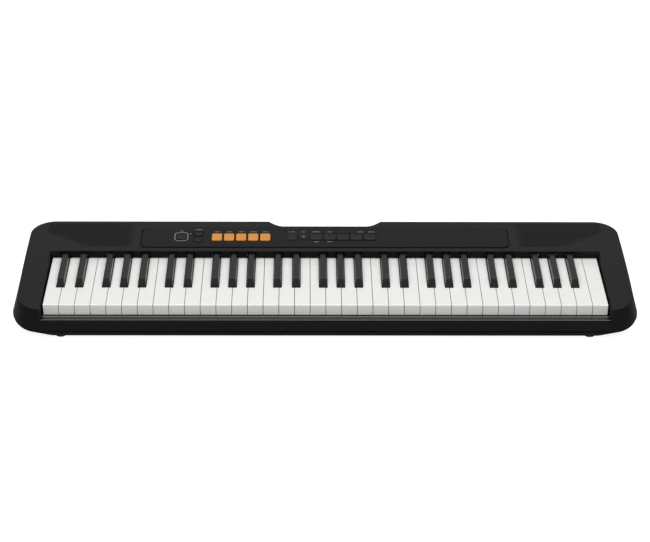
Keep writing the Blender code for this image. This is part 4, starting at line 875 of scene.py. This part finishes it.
def cap(x, y, width, depth, corner):
    """A closed cap: side, quarter round edge, then a dish that falls with the square of the way in."""
    def ring(inset, height):
        return raised(rounded(x, y, width - 2 * inset, depth - 2 * inset, corner - inset), height)
    rings = [raised(rounded(x, y, width, depth, corner) * 0.0 + (x, y), CAP_FOOT), ring(0.0, CAP_FOOT)]
    rings += [ring(CAP_ROUND * (1 - math.cos(bend)), CAP_TOP - CAP_ROUND * (1 - math.sin(bend)))
              for bend in np.linspace(0.0, math.pi / 2, 6)]
    edge = rings[-1][:, :2]
    for share in np.linspace(1.0, 0.0, 7)[1:]:
        rings.append(raised((edge - (x, y)) * share + (x, y), CAP_TOP - CAP_DISH * (1 - share * share)))
    return band(rings, True)


# ABS again, from a finely blasted tool, satin so that the finger does not slip.
CAP_BLACK = grained_plastic("moulded_abs_cap_dark", "101010", "161617", 0.0008, 0.00001, 0.42, 0.5,
                            shine=0.1)
# Orange ABS, polished: the dished top shows deep colour and the rounded rim a pale edge.
CAP_ORANGE = grained_plastic("polished_abs_cap_orange", "C8802A", "D08833", 0.003, 0.000004, 0.3, 0.4,
                             shine=0.3)
for name, shape in BUTTONS.items():
    piece = sew(name + "_cap", [cap(*shape)], angle=60.0)
    finished(piece, CAP_ORANGE if name.startswith("tone") else CAP_BLACK, name, name)

# A printed triangle on the round button, the usual sign for play. It lies in the dish of the cap.
SIGN_REACH = 0.0023
SIGN_ROOT = 0.0002
SIGN_DROP = 0.6
sign_level = CAP_TOP - CAP_DISH * SIGN_DROP
sign_middle = BUTTONS["round_button"][:2]
triangle = circles([sign_middle], [SIGN_REACH], 3)[0]
sign = inked(triangle, sign_middle, sign_level - SIGN_ROOT, sign_level + INK_RISE)
finished(sew("play_sign", [sign]), PRINT_INK, "round_button")

# ---------------------------------------------------------------- camera
# A long lens from the front, a little above: the view of the photograph, found from the keys, the case's
# outline and the panel.
CAMERA_PLACE = (-0.0320, -2.5380, 1.5787)
CAMERA_PITCH = math.radians(30.94)
CAMERA_YAW = math.radians(0.711)
CAMERA_ROLL = math.radians(0.429)
CAMERA_LENS = 106.4
SENSOR_WIDTH = 36.0
CAMERA_REACH = 50.0
forward = Vector((math.sin(CAMERA_YAW) * math.cos(CAMERA_PITCH),
                  math.cos(CAMERA_YAW) * math.cos(CAMERA_PITCH), -math.sin(CAMERA_PITCH)))
level_right = Vector((math.cos(CAMERA_YAW), -math.sin(CAMERA_YAW), 0.0))
level_up = level_right.cross(forward)
right = math.cos(CAMERA_ROLL) * level_right + math.sin(CAMERA_ROLL) * level_up
up = -math.sin(CAMERA_ROLL) * level_right + math.cos(CAMERA_ROLL) * level_up
camera_data = bpy.data.cameras.new("camera")
camera_data.lens = CAMERA_LENS
camera_data.sensor_width = SENSOR_WIDTH
camera_data.sensor_fit = "HORIZONTAL"
camera_data.clip_end = CAMERA_REACH
camera = bpy.data.objects.new("camera", camera_data)
bpy.context.scene.collection.objects.link(camera)
turn = Matrix((right, up, -forward)).transposed().to_4x4()
camera.matrix_world = Matrix.Translation(CAMERA_PLACE) @ turn
bpy.context.scene.camera = camera
bpy.context.scene.view_settings.view_transform = "Standard"

# ---------------------------------------------------------------- floor
# A sheet of white studio paper. Seen straight or in a reflection it is white with the object's soft
# shadow; in soft bounces it gives back less, as the real sheet falls away from the lamps.
FLOOR_HALF = 12.0
FLOOR_LEVEL = -0.0001
PAPER_SHADE = (0.25, 0.45)
PAPER_GLOW = (0.0, 0.85)
floor_mesh = bpy.data.meshes.new("floor")
floor_corners = [(-FLOOR_HALF, -FLOOR_HALF, FLOOR_LEVEL), (FLOOR_HALF, -FLOOR_HALF, FLOOR_LEVEL),
                 (FLOOR_HALF, FLOOR_HALF, FLOOR_LEVEL), (-FLOOR_HALF, FLOOR_HALF, FLOOR_LEVEL)]
floor_mesh.from_pydata(floor_corners, [], [(0, 1, 2, 3)])
floor = bpy.data.objects.new("floor", floor_mesh)
bpy.context.scene.collection.objects.link(floor)
STUDIO_PAPER = bpy.data.materials.new("matt_studio_paper_white")
STUDIO_PAPER.use_nodes = True
sheet = STUDIO_PAPER.node_tree


def seen_rays(tree):
    """One for camera, glossy and transmission rays, zero for others: the largest of the three flags."""
    rays = place_node(tree, "ShaderNodeLightPath")
    seen = place_node(tree, "ShaderNodeMath", links={0: (rays, "Is Camera Ray"), 1: (rays, "Is Glossy Ray")},
                      operation="MAXIMUM")
    return place_node(tree, "ShaderNodeMath", links={0: (seen, "Value"), 1: (rays, "Is Transmission Ray")},
                      operation="MAXIMUM")


paper_seen = seen_rays(sheet)
paper_shade = place_node(sheet, "ShaderNodeMapRange", dict(zip(("To Min", "To Max"), PAPER_SHADE)),
                         {"Value": (paper_seen, "Value")})
paper_glow = place_node(sheet, "ShaderNodeMapRange", dict(zip(("To Min", "To Max"), PAPER_GLOW)),
                        {"Value": (paper_seen, "Value")})
place_node(sheet, sheet.nodes["Principled BSDF"],
           {"Roughness": 0.95, "Specular IOR Level": 0.0, "Emission Color": (1.0, 1.0, 1.0, 1.0)},
           {"Base Color": (paper_shade, "Result"), "Emission Strength": (paper_glow, "Result")})
floor_mesh.materials.append(STUDIO_PAPER)

# ---------------------------------------------------------------- light
# One wide soft box above and a little behind the object, a stronger and more distant one in front of it,
# and a faint even light from all round, which the camera and reflections see as full white.
ROOM_LIGHT = (0.15, 1.0)
BOX_WIDTH = 3.4
world = bpy.data.worlds.new("studio")
bpy.context.scene.world = world
world.use_nodes = True
air = world.node_tree
air_seen = seen_rays(air)
strength = place_node(air, "ShaderNodeMapRange", dict(zip(("To Min", "To Max"), ROOM_LIGHT)),
                      {"Value": (air_seen, "Value")})
place_node(air, air.nodes["Background"], {"Color": (1.0, 1.0, 1.0, 1.0)}, {"Strength": (strength, "Result")})


def soft_box(name, place, depth, power):
    """A rectangular area lamp at a place, facing the origin."""
    data = bpy.data.lights.new(name, "AREA")
    data.shape = "RECTANGLE"
    data.size = BOX_WIDTH
    data.size_y = depth
    data.energy = power
    lamp = bpy.data.objects.new(name, data)
    bpy.context.scene.collection.objects.link(lamp)
    turn = Vector(place).to_track_quat("Z", "Y").to_matrix().to_4x4()
    lamp.matrix_world = Matrix.Translation(place) @ turn


soft_box("top_box", (0.0, 0.25, 2.6), depth=1.2, power=45.0)
soft_box("front_box", (0.0, -2.4, 2.0), depth=0.9, power=68.0)

bpy.context.view_layer.update()
